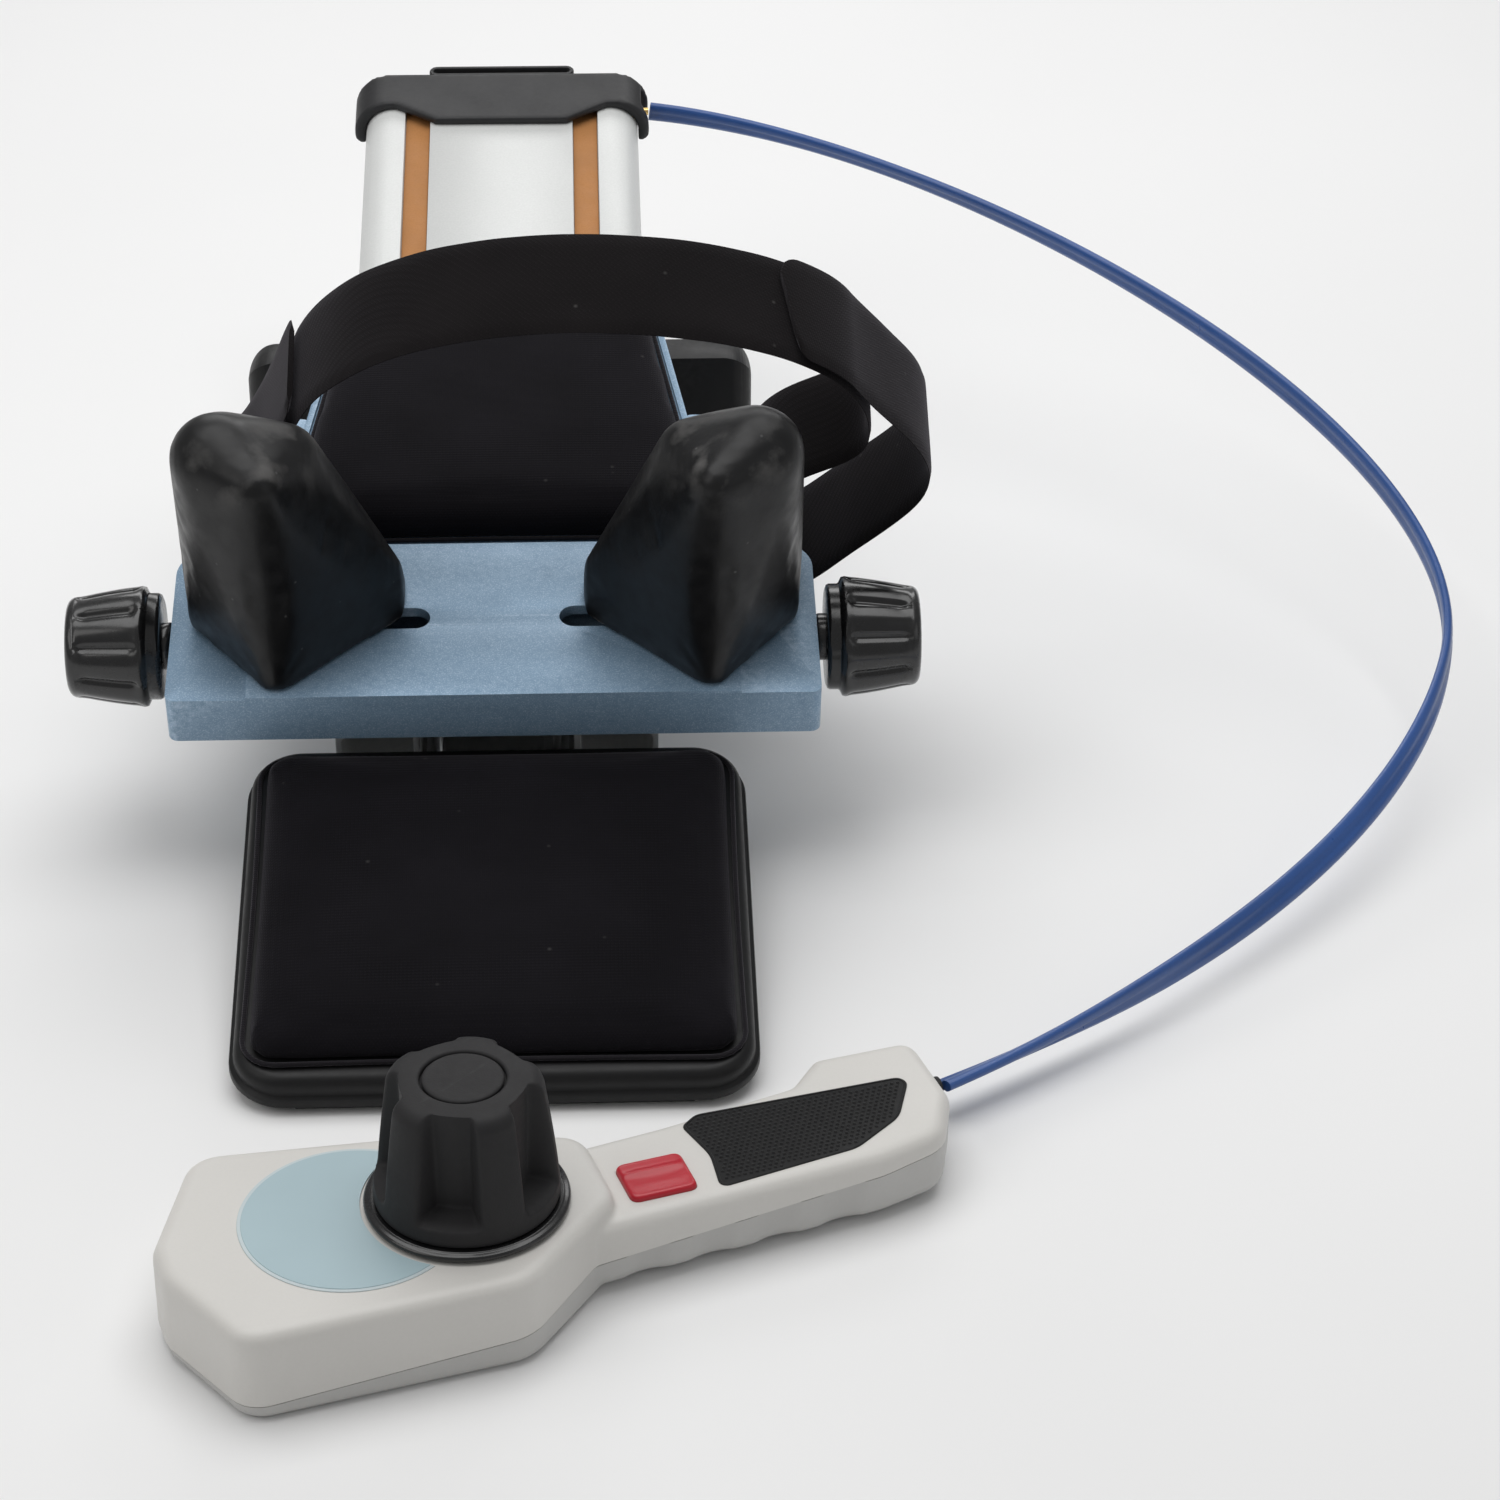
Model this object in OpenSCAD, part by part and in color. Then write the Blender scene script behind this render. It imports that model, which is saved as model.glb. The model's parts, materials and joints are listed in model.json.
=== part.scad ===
// Cervical traction device: an inclined track with a shoulder pad, a sliding head
// carriage, a folding stand and a hand pump on a flat hose. Millimetres, +Z up.
// Device positions are given as x (across), v (up the incline) and h (above the
// shoulder plate's underside). The origin is the middle of the front foot's rest face.

/* [Frame] */
// Incline of the track above the floor, degrees
incline = 12; // [10:0.5:14]
// Width of the track
track_w = 131; // [129:1:131]
// Width of the glide channels
channel_w = 12; // [11:0.5:12]
// Distance from the shoulder plate's front edge to the track's far end
track_end = 621; // [615:1:640]
// Width of the shoulder plate
plate_w = 200; // [180:1:220]
// Length of the shoulder plate
plate_l = 184; // [170:1:185]
// Corner radius of the shoulder plate
plate_r = 22; // [10:1:30]

/* [Head carriage] */
// Width of the tray that carries the wedges
tray_w = 260; // [256:1:268]
// Depth of the tray
tray_d = 92; // [90:1:94]
// Height of the tray's top face above the shoulder plate's underside
tray_top = 51; // [50:0.5:53]
// Travel of the carriage up the track
carriage_travel = 75; // [40:1:80]
// Thickness of the head cushion
head_cushion_t = 17; // [10:1:22]
// Width of the head strap
strap_w = 50; // [40:1:52]

/* [Wedges] */
// Height of a wedge's crown above the tray
wedge_h = 115; // [100:1:125]
// Diameter of the wedge spindle
spindle_d = 8; // [6:0.5:8]
// Largest diameter of a side knob
side_knob_d = 49; // [44:1:50]
// Length of a side knob
side_knob_l = 38; // [30:1:42]

/* [Stand] */
// Distance from the shoulder plate's front edge to the stand's hinge
stand_v = 423; // [420:1:440]
// Width of the stand leg
stand_w = 226; // [200:1:230]
// Thickness of the stand leg
stand_t = 20; // [16:1:20]

/* [Handset] */
// Height of the handset's head
head_h = 37; // [36:0.5:40]
// Height of the handset's grip
grip_h = 30; // [28:0.5:31]
// Diameter of the control knob at its foot
dial_d = 65; // [58:1:68]
// Height of the control knob above the head
dial_h = 53; // [45:1:62]
// Turn of the handset about the vertical, degrees
handset_turn = 18; // [12:1:22]

/* [Hose] */
// Width of the flat hose
hose_w = 11; // [8:0.5:12]
// Thickness of the flat hose
hose_t = 4.5; // [3:0.5:5]

/* [Hidden] */
$fn = 48;

eps = 0.02;
slip = 0.05;
lift = 2.5;
setback = 12;

plate_t = 13;
track_top = 26;
track_low = -10;
track_start = plate_l + 3;
wall = 2.5;
channel_depth = 4;
channel_in = 34;

tray_v = 170;
tray_low = 29.5;
skin = 3.5;
panel_rise = 1.2;
spindle_v = tray_v + 46;
spindle_h = tray_top - 12;
slot_w = 12.5;
stem_in = 53;
stem_l = 37;
head_plate_top = 44;
rim_h = 2;
rim_w = 2.5;
head_plate_end = 455;
keeper_v = 264;
keeper_l = 66;
keeper_low = -14.5;
keeper_x = track_w / 2 + 0.8;
lug_v = 266;
lug_l = 26;

axis_h = 8;
tube_od = 30;
tube_id = 26;
tube_v = 382;
tube_l = 118;
rod_d = 8;
piston_v = 394;
piston_l = 12;

pivot_h = -22;
pivot_r = 4;
foot_t = 5;
outlet_v = 628;
outlet_x = 57;
outlet_h = 14;
cap_end = 638;
cap_over = 4;

dial_x = -7.5;
dial_y = -100.5;
seam_z = 12;
seam_rise = 0.06;
shell_t = 2.5;
chamber_id = 67.6;
chamber_od = 71.6;
button_c = [68.5, -2.5];
tip_c = [187, 34];

// World height and depth of a point given in device positions
function world_y(v, h) = v * cos(incline) - h * sin(incline) - setback;
function world_z(v, h) = v * sin(incline) + h * cos(incline) + lift;

function unit(a) = a / norm(a);

// Points of an arc of radius r that rounds the corner a-b-c
function corner_arc(a, b, c, r) =
    let (u = unit(a - b), w = unit(c - b), half = acos(u * w) / 2,
        mid = b + unit(u + w) * r / sin(half), reach = r / tan(half),
        p = b + u * reach - mid, q = b + w * reach - mid,
        start = atan2(p[1], p[0]), turn = atan2(q[1], q[0]) - start,
        sweep = turn > 180 ? turn - 360 : turn < -180 ? turn + 360 : turn)
    let (n = r > 9 ? 12 : 6)
    [for (i = [0 : n]) mid + r * [cos(start + sweep * i / n), sin(start + sweep * i / n)]];

// Closed outline through [x, y, radius] corners
function rounded_path(corners) =
    let (n = len(corners), at = function (i) [corners[i % n][0], corners[i % n][1]])
    [for (i = [0 : n - 1]) each corner_arc(at(i + n - 1), at(i), at(i + 1), corners[i][2])];

// Points of a cubic curve
function bezier(p, steps) =
    [for (i = [0 : steps]) let (t = i / steps, s = 1 - t)
        s * s * s * p[0] + 3 * s * s * t * p[1] + 3 * s * t * t * p[2] + t * t * t * p[3]];

function joined(a, b) = concat(a, [for (i = [1 : len(b) - 1]) b[i]]);

// Unit direction along a list of points at point i
function along(path, i) = unit(path[min(i + 1, len(path) - 1)] - path[max(i - 1, 0)]);

module on_frame() {
    translate([0, -setback, lift]) rotate([incline, 0, 0]) children();
}

module on_handset() {
    translate([dial_x, dial_y - setback, 0]) rotate([0, 0, handset_turn]) children();
}

// Cylinder along the track from v0, at x and h
module rod_v(x, v0, h, r, l) {
    translate([x, v0, h]) rotate([-90, 0, 0]) cylinder(r = r, h = l);
}

// Cylinder across the track from x0, at v and h
module rod_x(x0, v, h, r, l) {
    translate([x0, v, h]) rotate([0, 90, 0]) cylinder(r = r, h = l);
}

module rounded_rect(w, d, r) {
    square([w - 2 * r, d], center = true);
    square([w, d - 2 * r], center = true);
    for (sx = [-1, 1], sy = [-1, 1])
        translate([sx * (w / 2 - r), sy * (d / 2 - r)]) circle(r = r);
}

// Screw with its head's upper face at z = 0, pointing up
module screw(head_r, head_l, shank_r, shank_l) {
    difference() {
        translate([0, 0, -head_l]) cylinder(r = head_r, h = head_l);
        translate([0, 0, -head_l - 1]) cylinder(r = head_r * 0.45, h = 1 + head_l / 2, $fn = 6);
    }
    cylinder(r = shank_r, h = shank_l);
}

// ---- Frame ----

module track_profile() {
    half = track_w / 2;
    polygon(rounded_path([[-half, track_low, 6], [half, track_low, 6],
        [half, track_top, 14], [-half, track_top, 14]]));
}

module track_hollows() {
    low = track_low + wall;
    inner = channel_in - 3;
    translate([-inner, low]) square([2 * inner, track_top - wall - low]);
    for (s = [0, 1]) mirror([s, 0]) {
        translate([channel_in, low])
            polygon(rounded_path([[0, 0, 1], [track_w / 2 - channel_in - wall, 0, 4],
                [track_w / 2 - channel_in - wall, 22, 4], [0, 22, 1]]));
        translate([channel_in, track_top - channel_depth])
            square([channel_w, channel_depth + 1]);
    }
}

module bracket_holes(r) {
    for (x = [-20, 20]) {
        for (v = [125, 165]) translate([x, v, -7]) cylinder(r = r, h = 16);
        translate([x, 206, -11]) cylinder(r = r, h = 11);
    }
}

module track_extrusion() {
    color("gainsboro") on_frame() difference() {
        translate([0, track_end, 0]) rotate([90, 0, 0])
            linear_extrude(track_end - track_start) difference() {
                track_profile();
                track_hollows();
            }
        translate([-10, lug_v - 12, track_low - 1])
            cube([20, lug_l + carriage_travel + 24, wall + 2]);
        bracket_holes(2.1);
    }
}

module glide_strips() {
    color("peru") on_frame() for (s = [0, 1]) mirror([s, 0, 0])
        translate([channel_in + 0.3, track_start + 1, track_top - channel_depth])
            cube([channel_w - 0.6, track_end - track_start - 2, 0.8]);
}

module cap_skirt() {
    outer = track_w / 2 + 5.5;
    polygon(rounded_path([[-outer, 7, 4], [outer, 7, 4],
        [outer, track_top + cap_over, 17], [-outer, track_top + cap_over, 17]]));
}

module cap_back() {
    half = track_w / 2 - 0.2;
    polygon(rounded_path([[-half, track_low, 6], [half, track_low, 6], [half, 12, 1], [-half, 12, 1]]));
}

// Solid of the outline below, from v back to the end of length l
module cap_solid(end, l) {
    translate([0, end, 0]) rotate([90, 0, 0]) linear_extrude(l) children();
}

module end_cap() {
    depth = 25;
    back = 3;
    color([0.2, 0.2, 0.21]) on_frame() difference() {
        union() {
            cap_solid(cap_end, depth) cap_skirt();
            cap_solid(cap_end, cap_end - track_end - 0.2) cap_back();
            translate([0, 0, track_top + 0.3]) linear_extrude(cap_over - 0.3)
                polygon([[-31, 600], [31, 600], [52, 614], [-52, 614]]);
        }
        cap_solid(track_end + 0.2, depth)
            polygon(rounded_path([for (c = [[-1, -1, 6], [1, -1, 6], [1, 1, 14], [-1, 1, 14]])
                [c[0] * (track_w / 2 + 0.3), 8 + c[1] * 18.3, c[2]]]));
        cap_solid(cap_end - back, cap_end - back - track_end) offset(r = -back - 0.5) {
            cap_skirt();
            cap_back();
        }
        translate([60, outlet_v - 8, outlet_h - 8]) cube([20, 15, 16]);
        for (x = [-50, 50]) rod_v(x, cap_end - 5, 8, 2.1, 10);
    }
}

module carry_handle() {
    color([0.16, 0.16, 0.17]) on_frame() translate([0, cap_end + 4, 16]) linear_extrude(13)
        difference() {
            translate([0, 0.05]) rounded_rect(70, 8, 3.5);
            translate([0, -0.5]) rounded_rect(58, 2.8, 1.3);
        }
}

module shoulder_plate() {
    color([0.09, 0.09, 0.1]) on_frame() difference() {
        translate([0, plate_l / 2, 0]) {
            linear_extrude(plate_t - 4) rounded_rect(plate_w, plate_l, plate_r);
            linear_extrude(plate_t) rounded_rect(plate_w - 8, plate_l - 8, plate_r - 4);
        }
        bracket_holes(2.1);
    }
}

module shoulder_cushion() {
    color([0.07, 0.07, 0.08]) on_frame() translate([0, plate_l / 2, plate_t + slip])
        linear_extrude(12) rounded_rect(plate_w - 10, plate_l - 18, 14);
}

module joining_bracket() {
    color("silver") on_frame() difference() {
        translate([-29, 110, -6]) cube([58, 116, 6 - eps]);
        bracket_holes(2.1);
    }
}

module frame_screws() {
    color("lightgray") on_frame() {
        for (x = [-20, 20]) {
            for (v = [125, 165]) translate([x, v, -6 - eps]) screw(4, 2.5, 2, 14);
            translate([x, 206, track_low - eps]) screw(4, 1.6, 2, 8);
        }
        for (x = [-50, 50]) translate([x, cap_end + eps, 8]) rotate([90, 0, 0])
            screw(3.5, 1.8, 2, 4.5);
    }
}

module front_foot() {
    half_w = 75;
    half_d = 8;
    top = function (y) lift + (y + setback) * tan(incline) - eps;
    color([0.12, 0.12, 0.13]) translate([-half_w, 0, 0]) rotate([90, 0, 90])
        linear_extrude(2 * half_w)
            polygon([[-half_d, 0], [half_d, 0], [half_d, top(half_d)], [-half_d, top(-half_d)]]);
}

module stand_bracket() {
    color("silver") on_frame() difference() {
        union() {
            translate([-55, stand_v - 14, track_low - 3]) cube([110, 28, 3 - eps]);
            for (x = [-45, 40]) translate([x, stand_v - 8, pivot_h]) cube([5, 16, -pivot_h - 12.5]);
            for (x = [-45, 40]) rod_x(x, stand_v, pivot_h, 8, 5);
        }
        rod_x(-60, stand_v, pivot_h, pivot_r + slip, 120);
    }
}

module stand_pin() {
    color("lightgray") on_frame() rod_x(-58, stand_v, pivot_h, pivot_r, 116);
}

// ---- Pneumatic cylinder inside the track ----

module cylinder_tube() {
    color("silver") on_frame() difference() {
        rod_v(0, tube_v, axis_h, tube_od / 2, tube_l);
        rod_v(0, tube_v - 1, axis_h, tube_id / 2, tube_l + 2);
    }
}

module cylinder_gland() {
    color("silver") on_frame() difference() {
        union() {
            rod_v(0, tube_v - 6, axis_h, tube_od / 2, 6 - eps);
            rod_v(0, tube_v - 6, axis_h, tube_id / 2 - slip, 12);
            translate([8, tube_v - 6, 11]) cube([20, 6 - eps, 11]);
        }
        rod_v(0, tube_v - 7, axis_h, rod_d / 2 + slip, 20);
    }
}

module cylinder_plug() {
    back = tube_v + tube_l;
    color("silver") on_frame() {
        rod_v(0, back + eps, axis_h, tube_od / 2, 5);
        rod_v(0, back - 6, axis_h, tube_id / 2 - slip, 8);
    }
}

module cylinder_saddles() {
    color([0.15, 0.15, 0.16]) on_frame() difference() {
        for (v = [tube_v + 10, tube_v + tube_l - 20])
            translate([-30.5, v, track_low + wall + eps]) cube([61, 10, 12]);
        rod_v(0, tube_v, axis_h, tube_od / 2 + 0.45, tube_l);
    }
}

module air_line() {
    x = 24;
    h = 17;
    back = outlet_v - tube_v;
    color("steelblue") on_frame() difference() {
        union() {
            rod_v(x, tube_v, h, 2.5, back);
            translate([x, outlet_v, h]) sphere(r = 2.9);
            rod_x(x, outlet_v, h, 2.5, outlet_x - x - 7);
        }
        rod_v(x, tube_v - 1, h, 1.5, back);
        rod_x(x + 1, outlet_v, h, 1.5, outlet_x);
    }
}

module swivel_post() {
    color("goldenrod") translate([outlet_x, world_y(outlet_v, outlet_h), world_z(outlet_v, outlet_h)]) {
        translate([0, 0, -13]) cylinder(r = 3, h = 20);
        translate([-6, -4, -13]) cube([10, 8, 9]);
    }
}

// ---- Head carriage ----

module head_plate_outline(inset) {
    front = 96.5 - inset;
    back = 66 - inset;
    polygon(rounded_path([[-front, tray_v + tray_d - 8, 2], [front, tray_v + tray_d - 8, 2],
        [back, head_plate_end - inset, 14 - inset], [-back, head_plate_end - inset, 14 - inset]]));
}

module wing() {
    difference() {
        translate([80, tray_v + tray_d - 10, tray_low]) linear_extrude(12)
            polygon(rounded_path([[0, 0, 1], [42, 0, 1], [42, 60, 14], [14, 106, 10], [0, 106, 4]]));
        strap_slot();
    }
}

module strap_slot() {
    translate([104, 265, tray_low - 1]) cube([9, strap_w + 6, 20]);
}

module cover_bosses(r, low, high) {
    for (x = [-118, 118], v = [tray_v + 9, tray_v + tray_d - 10])
        translate([x, v, low]) cylinder(r = r, h = high - low);
}

module keeper_holes(r, low, high) {
    for (x = [-74, 74], v = [keeper_v + 10, keeper_v + keeper_l - 10])
        translate([x, v, low]) cylinder(r = r, h = high - low);
}

module tray_outline() {
    half = tray_w / 2;
    far = tray_v + tray_d;
    polygon(rounded_path([[-half, tray_v, 4], [half, tray_v, 4],
        [half, far, 16], [-half, far, 16]]));
}

module wedge_slot() {
    mid = (26 + 112) / 2;
    translate([mid, spindle_v, tray_top - 8]) linear_extrude(12)
        rounded_rect(112 - 26, slot_w, slot_w / 2 - 0.01);
}

module carriage_form() {
    translate([0, 0, tray_low]) linear_extrude(tray_top - tray_low) tray_outline();
    translate([-98, tray_v, tray_top - 1]) cube([196, tray_d, 1 + panel_rise]);
    translate([0, 0, tray_low]) linear_extrude(head_plate_top + rim_h - tray_low)
        head_plate_outline(0);
    for (s = [0, 1]) mirror([s, 0, 0]) wing();
}

module tray_hollow() {
    difference() {
        translate([0, tray_v + tray_d / 2, tray_low - 1])
            linear_extrude(tray_top - skin - tray_low + 1)
                square([tray_w - 2 * skin, tray_d - 2 * skin], center = true);
        cover_bosses(4, tray_low + 2 + eps, tray_top);
    }
}

module head_carriage() {
    color("lightsteelblue") on_frame() difference() {
        carriage_form();
        tray_hollow();
        cover_bosses(1.6, tray_low, tray_top - 8);
        translate([0, 0, head_plate_top]) linear_extrude(rim_h + 1) difference() {
            head_plate_outline(rim_w);
            translate([-100, tray_v]) square([200, tray_d + 6]);
        }
        translate([0, 0, tray_low - 1]) linear_extrude(head_plate_top - 3 - tray_low + 1)
            difference() {
                head_plate_outline(3);
                translate([-100, tray_v]) square([200, tray_d + 1]);
                keeper_boss_plan();
            }
        for (s = [0, 1]) mirror([s, 0, 0]) {
            wedge_slot();
            rod_x(tray_w / 2 - skin - 1, spindle_v, spindle_h, 6 + slip, 20);
        }
        keeper_holes(1.8, tray_low - 1, tray_low + 9);
    }
}

module keeper_boss_plan() {
    for (x = [-74, 74], v = [keeper_v + 10, keeper_v + keeper_l - 10])
        translate([x, v]) circle(r = 5);
}

module carriage_cover() {
    color([0.35, 0.42, 0.5]) on_frame() difference() {
        translate([-tray_w / 2 + skin + 0.3, tray_v + skin + 0.3, tray_low])
            cube([tray_w - 2 * skin - 0.6, tray_d - 2 * skin - 0.6, 2]);
        cover_bosses(1.7, tray_low - 1, tray_low + 3);
    }
}

module carriage_keeper() {
    color("silver") on_frame() difference() {
        union() {
            translate([-keeper_x - 3, keeper_v, keeper_low]) cube([2 * keeper_x + 6, keeper_l, 3]);
            for (s = [0, 1]) mirror([s, 0, 0]) {
                translate([keeper_x, keeper_v, keeper_low])
                    cube([3, keeper_l, tray_low - keeper_low - eps]);
                translate([keeper_x, keeper_v, tray_low - 3]) cube([15, keeper_l, 3 - eps]);
            }
        }
        keeper_holes(1.9, tray_low - 4, tray_low + 1);
        for (v = [6, lug_l - 6]) translate([0, lug_v + v, keeper_low - 1])
            cylinder(r = 2.1, h = 6);
    }
}

module slide_shoes() {
    color("ivory") on_frame() for (s = [0, 1], v = [276, 340]) mirror([s, 0, 0])
        translate([channel_in + 1, v, track_top - channel_depth + 0.8 + slip])
            cube([channel_w - 2, 44, tray_low - track_top + channel_depth - 0.8 - 2 * slip]);
}

module drive_lug() {
    color("silver") on_frame() difference() {
        translate([-8, lug_v, keeper_low + 3 + eps]) cube([16, lug_l, 28]);
        rod_v(0, lug_v - 1, axis_h, rod_d / 2 + slip, lug_l + 2);
        for (v = [6, lug_l - 6]) translate([0, lug_v + v, keeper_low + 2])
            cylinder(r = 2.1, h = 12);
    }
}

module piston_rod() {
    start = lug_v - 9;
    color("lightgray") on_frame() rod_v(0, start, axis_h, rod_d / 2, piston_v + piston_l - start);
}

module piston() {
    color("goldenrod") on_frame() difference() {
        rod_v(0, piston_v, axis_h, tube_id / 2 - 0.09, piston_l);
        rod_v(0, piston_v - 1, axis_h, rod_d / 2 + eps, piston_l + 2);
        difference() {
            rod_v(0, piston_v + 4.5, axis_h, tube_id / 2 + 1, 3);
            rod_v(0, piston_v + 4, axis_h, tube_id / 2 - 2, 4);
        }
    }
}

module piston_seal() {
    color([0.1, 0.1, 0.1]) on_frame() difference() {
        rod_v(0, piston_v + 4.55, axis_h, tube_id / 2 - 0.04, 2.9);
        rod_v(0, piston_v + 4, axis_h, tube_id / 2 - 1.95, 4);
    }
}

module rod_nuts() {
    color("lightgray") on_frame() difference() {
        for (v = [lug_v - 5 - eps, lug_v + lug_l + eps]) translate([0, v, axis_h])
            rotate([-90, 0, 0]) cylinder(r = 7.5, h = 5, $fn = 6);
        rod_v(0, lug_v - 10, axis_h, rod_d / 2 + eps, lug_l + 20);
    }
}

module head_cushion() {
    gap = 1;
    color([0.07, 0.07, 0.08]) on_frame() translate([0, 0, head_plate_top + slip])
        linear_extrude(head_cushion_t) difference() {
            head_plate_outline(rim_w + gap);
            translate([-100, tray_v]) square([200, tray_d + 9]);
        }
}

// Ribbon of thickness t along a path in the hoop's own plane
module ribbon(path, t) {
    n = len(path) - 1;
    side = function (i, s) path[i] + s * t / 2 * [-along(path, i)[1], along(path, i)[0]];
    polygon(concat([for (i = [0 : n]) side(i, 1)], [for (i = [n : -1 : 0]) side(i, -1)]));
}

module head_strap() {
    lean = 14;
    tail = [[-78.5, 101], [-86, 80], [-92.5, 58], [-101, 42]];
    left = [[-101, 42], [-109, 26], [-130, 8], [-124.5, -18]];
    hem = [[-124.5, -18], [-123.5, -38], [-108.5, -42], [-108.5, -18]];
    rise = [[-108.5, -18], [-108.5, -12], [-108, -7], [-107, -1]];
    side = [[-107, -1], [-99, 28], [-85, 62], [-80, 82]];
    shoulder = [[-80, 82], [-72, 112], [-45, 146], [30, 148.5]];
    crown = [[30, 148.5], [95, 148.5], [151, 125], [151, 80]];
    tuck = [[151, 80], [151, 50], [95, 62], [107, -1]];
    drop = [[107, -1], [108.3, -8], [108.5, -12], [108.5, -18]];
    under = [[108.5, -18], [108.5, -44], [127, -27], [147, -1]];
    outer = [[147, -1], [160, 16], [177, 30], [177, 52]];
    loop = [[177, 52], [177, 70], [158, 88], [143.9, 111.6]];
    tab = [[143.9, 111.6], [140, 118.6], [129.6, 128.3], [115.2, 135]];
    parts = [tail, left, hem, rise, side, shoulder, crown, tuck, drop, under, outer, loop, tab];
    path = [for (i = [0 : len(parts) - 1], p = bezier(parts[i], 8)) if (i == 0 || p != parts[i][0]) p];
    color([0.06, 0.06, 0.07]) on_frame() translate([0, 290.4, 46]) rotate([90 + lean, 0, 0])
        translate([0, 0, -strap_w / 2]) linear_extrude(strap_w) ribbon(path, 3);
}

module carriage_screws() {
    color("lightgray") on_frame() {
        for (x = [-118, 118], v = [tray_v + 9, tray_v + tray_d - 10])
            translate([x, v, tray_low - eps]) screw(3, 1.8, 1.5, 12);
        for (x = [-74, 74], v = [keeper_v + 10, keeper_v + keeper_l - 10])
            translate([x, v, tray_low - 3 - eps]) screw(3, 2, 1.7, 10);
        for (v = [6, lug_l - 6]) translate([0, lug_v + v, keeper_low - eps])
            screw(4, 2.4, 2, 11);
    }
}

module spindle_bushes() {
    wall_x = tray_w / 2 - skin;
    color("goldenrod") on_frame() for (s = [0, 1]) mirror([s, 0, 0]) difference() {
        union() {
            rod_x(wall_x - 2, spindle_v, spindle_h, 7.2, 2 - eps);
            rod_x(wall_x - 2, spindle_v, spindle_h, 6, skin + 3);
        }
        rod_x(wall_x - 3, spindle_v, spindle_h, spindle_d / 2 + slip, 12);
    }
}

// ---- Wedges ----

// Right wedge: one rounded body that rises from a V-shaped front to a domed crown
module wedge_pad() {
    foot = tray_top + panel_rise + 0.3;
    top = tray_top + wedge_h;
    difference() {
        intersection() {
            hull() {
                for (c = [[86, 179, foot], [43, 219, foot], [43, 236, foot], [116, 216, foot],
                    [116, 252, foot], [60, 256, foot], [43, 222, 73]])
                    translate(c) sphere(r = 7, $fn = 24);
                translate([88, 183, top - 18]) sphere(r = 10, $fn = 24);
                for (c = [[104, 203, top - 19], [104, 221, top - 33]])
                    translate(c) sphere(r = 18, $fn = 32);
                translate([79, 214, top - 28]) sphere(r = 14, $fn = 24);
            }
            translate([0, 150, foot]) cube([150, 130, 150]);
        }
        translate([stem_in - slip, spindle_v - 6 - slip, foot - 1])
            cube([stem_l + 2 * slip, 12 + 2 * slip, 12]);
    }
}

module wedge_carrier() {
    block_low = tray_low + 2.4;
    block_h = tray_top - skin - 0.3 - block_low;
    difference() {
        union() {
            translate([46, spindle_v - 12, block_low]) cube([50, 24, block_h]);
            translate([stem_in, spindle_v - 6, block_low]) cube([stem_l, 12, 30]);
        }
        rod_x(40, spindle_v, spindle_h, spindle_d / 2 + slip, 60);
    }
}

module wedge_pad_right() {
    color([0.11, 0.11, 0.12]) on_frame() wedge_pad();
}

module wedge_carrier_right() {
    color("ivory") on_frame() wedge_carrier();
}

module wedge_pad_left() {
    color([0.11, 0.11, 0.12]) on_frame() mirror([1, 0, 0]) wedge_pad();
}

module wedge_carrier_left() {
    color("ivory") on_frame() mirror([1, 0, 0]) wedge_carrier();
}

module wedge_spindle() {
    half = tray_w / 2 + 34;
    color("lightgray") on_frame() rod_x(-half, spindle_v, spindle_h, spindle_d / 2, 2 * half);
}

module side_knob() {
    inner = tray_w / 2 + 4;
    difference() {
        translate([inner, spindle_v, spindle_h]) rotate([0, 90, 0])
            cylinder(r1 = side_knob_d / 2, r2 = side_knob_d / 2 - 4, h = side_knob_l);
        difference() {
            rod_x(inner - 1, spindle_v, spindle_h, side_knob_d / 2 - 5, 9);
            rod_x(inner - 1, spindle_v, spindle_h, 9, 9);
        }
        rod_x(inner - 1, spindle_v, spindle_h, spindle_d / 2 + eps, 32);
    }
}

module side_knob_right() {
    color([0.08, 0.08, 0.09]) on_frame() side_knob();
}

module side_knob_left() {
    color([0.08, 0.08, 0.09]) on_frame() mirror([1, 0, 0]) side_knob();
}

// ---- Stand ----

module stand_leg() {
    y = world_y(stand_v, pivot_h);
    z = world_z(stand_v, pivot_h);
    top = world_z(stand_v, 22);
    notch = track_w + 16;
    color([0.1, 0.1, 0.11]) difference() {
        translate([0, y, foot_t + eps]) intersection() {
            linear_extrude(top) rounded_rect(stand_w, stand_t, stand_t / 2 - 1);
            translate([-stand_w / 2, 15, 0]) rotate([90, 0, 0]) linear_extrude(30)
                polygon(rounded_path([[0, 0, 6], [stand_w, 0, 6], [stand_w, top - foot_t, 13],
                    [0, top - foot_t, 13]]));
        }
        translate([-notch / 2, y - 20, z - 17]) cube([notch, 40, 100]);
        translate([-70, y - 20, 18]) cube([140, 12, z - 50]);
    }
    color([0.1, 0.1, 0.11]) for (s = [0, 1]) mirror([s, 0, 0]) difference() {
        union() {
            translate([46, y - 7, z - 17 - eps]) cube([9, 14, 17]);
            rod_x(46, y, z, 7, 9);
        }
        rod_x(40, y, z, pivot_r + slip, 20);
    }
}

module stand_feet() {
    y = world_y(stand_v, pivot_h);
    color([0.14, 0.14, 0.15]) for (x = [-80, 80]) translate([x, y, 0])
        linear_extrude(foot_t) rounded_rect(56, stand_t - 2, 5);
}

// ---- Handset ----

module head_plan() {
    polygon(rounded_path([[-109, -4, 14], [-92, -47, 13], [8, -49, 20], [50, -14, 12],
        [50, 24, 12], [-16, 46, 60], [-84, 59, 14], [-109, 12, 10]]));
}

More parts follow.
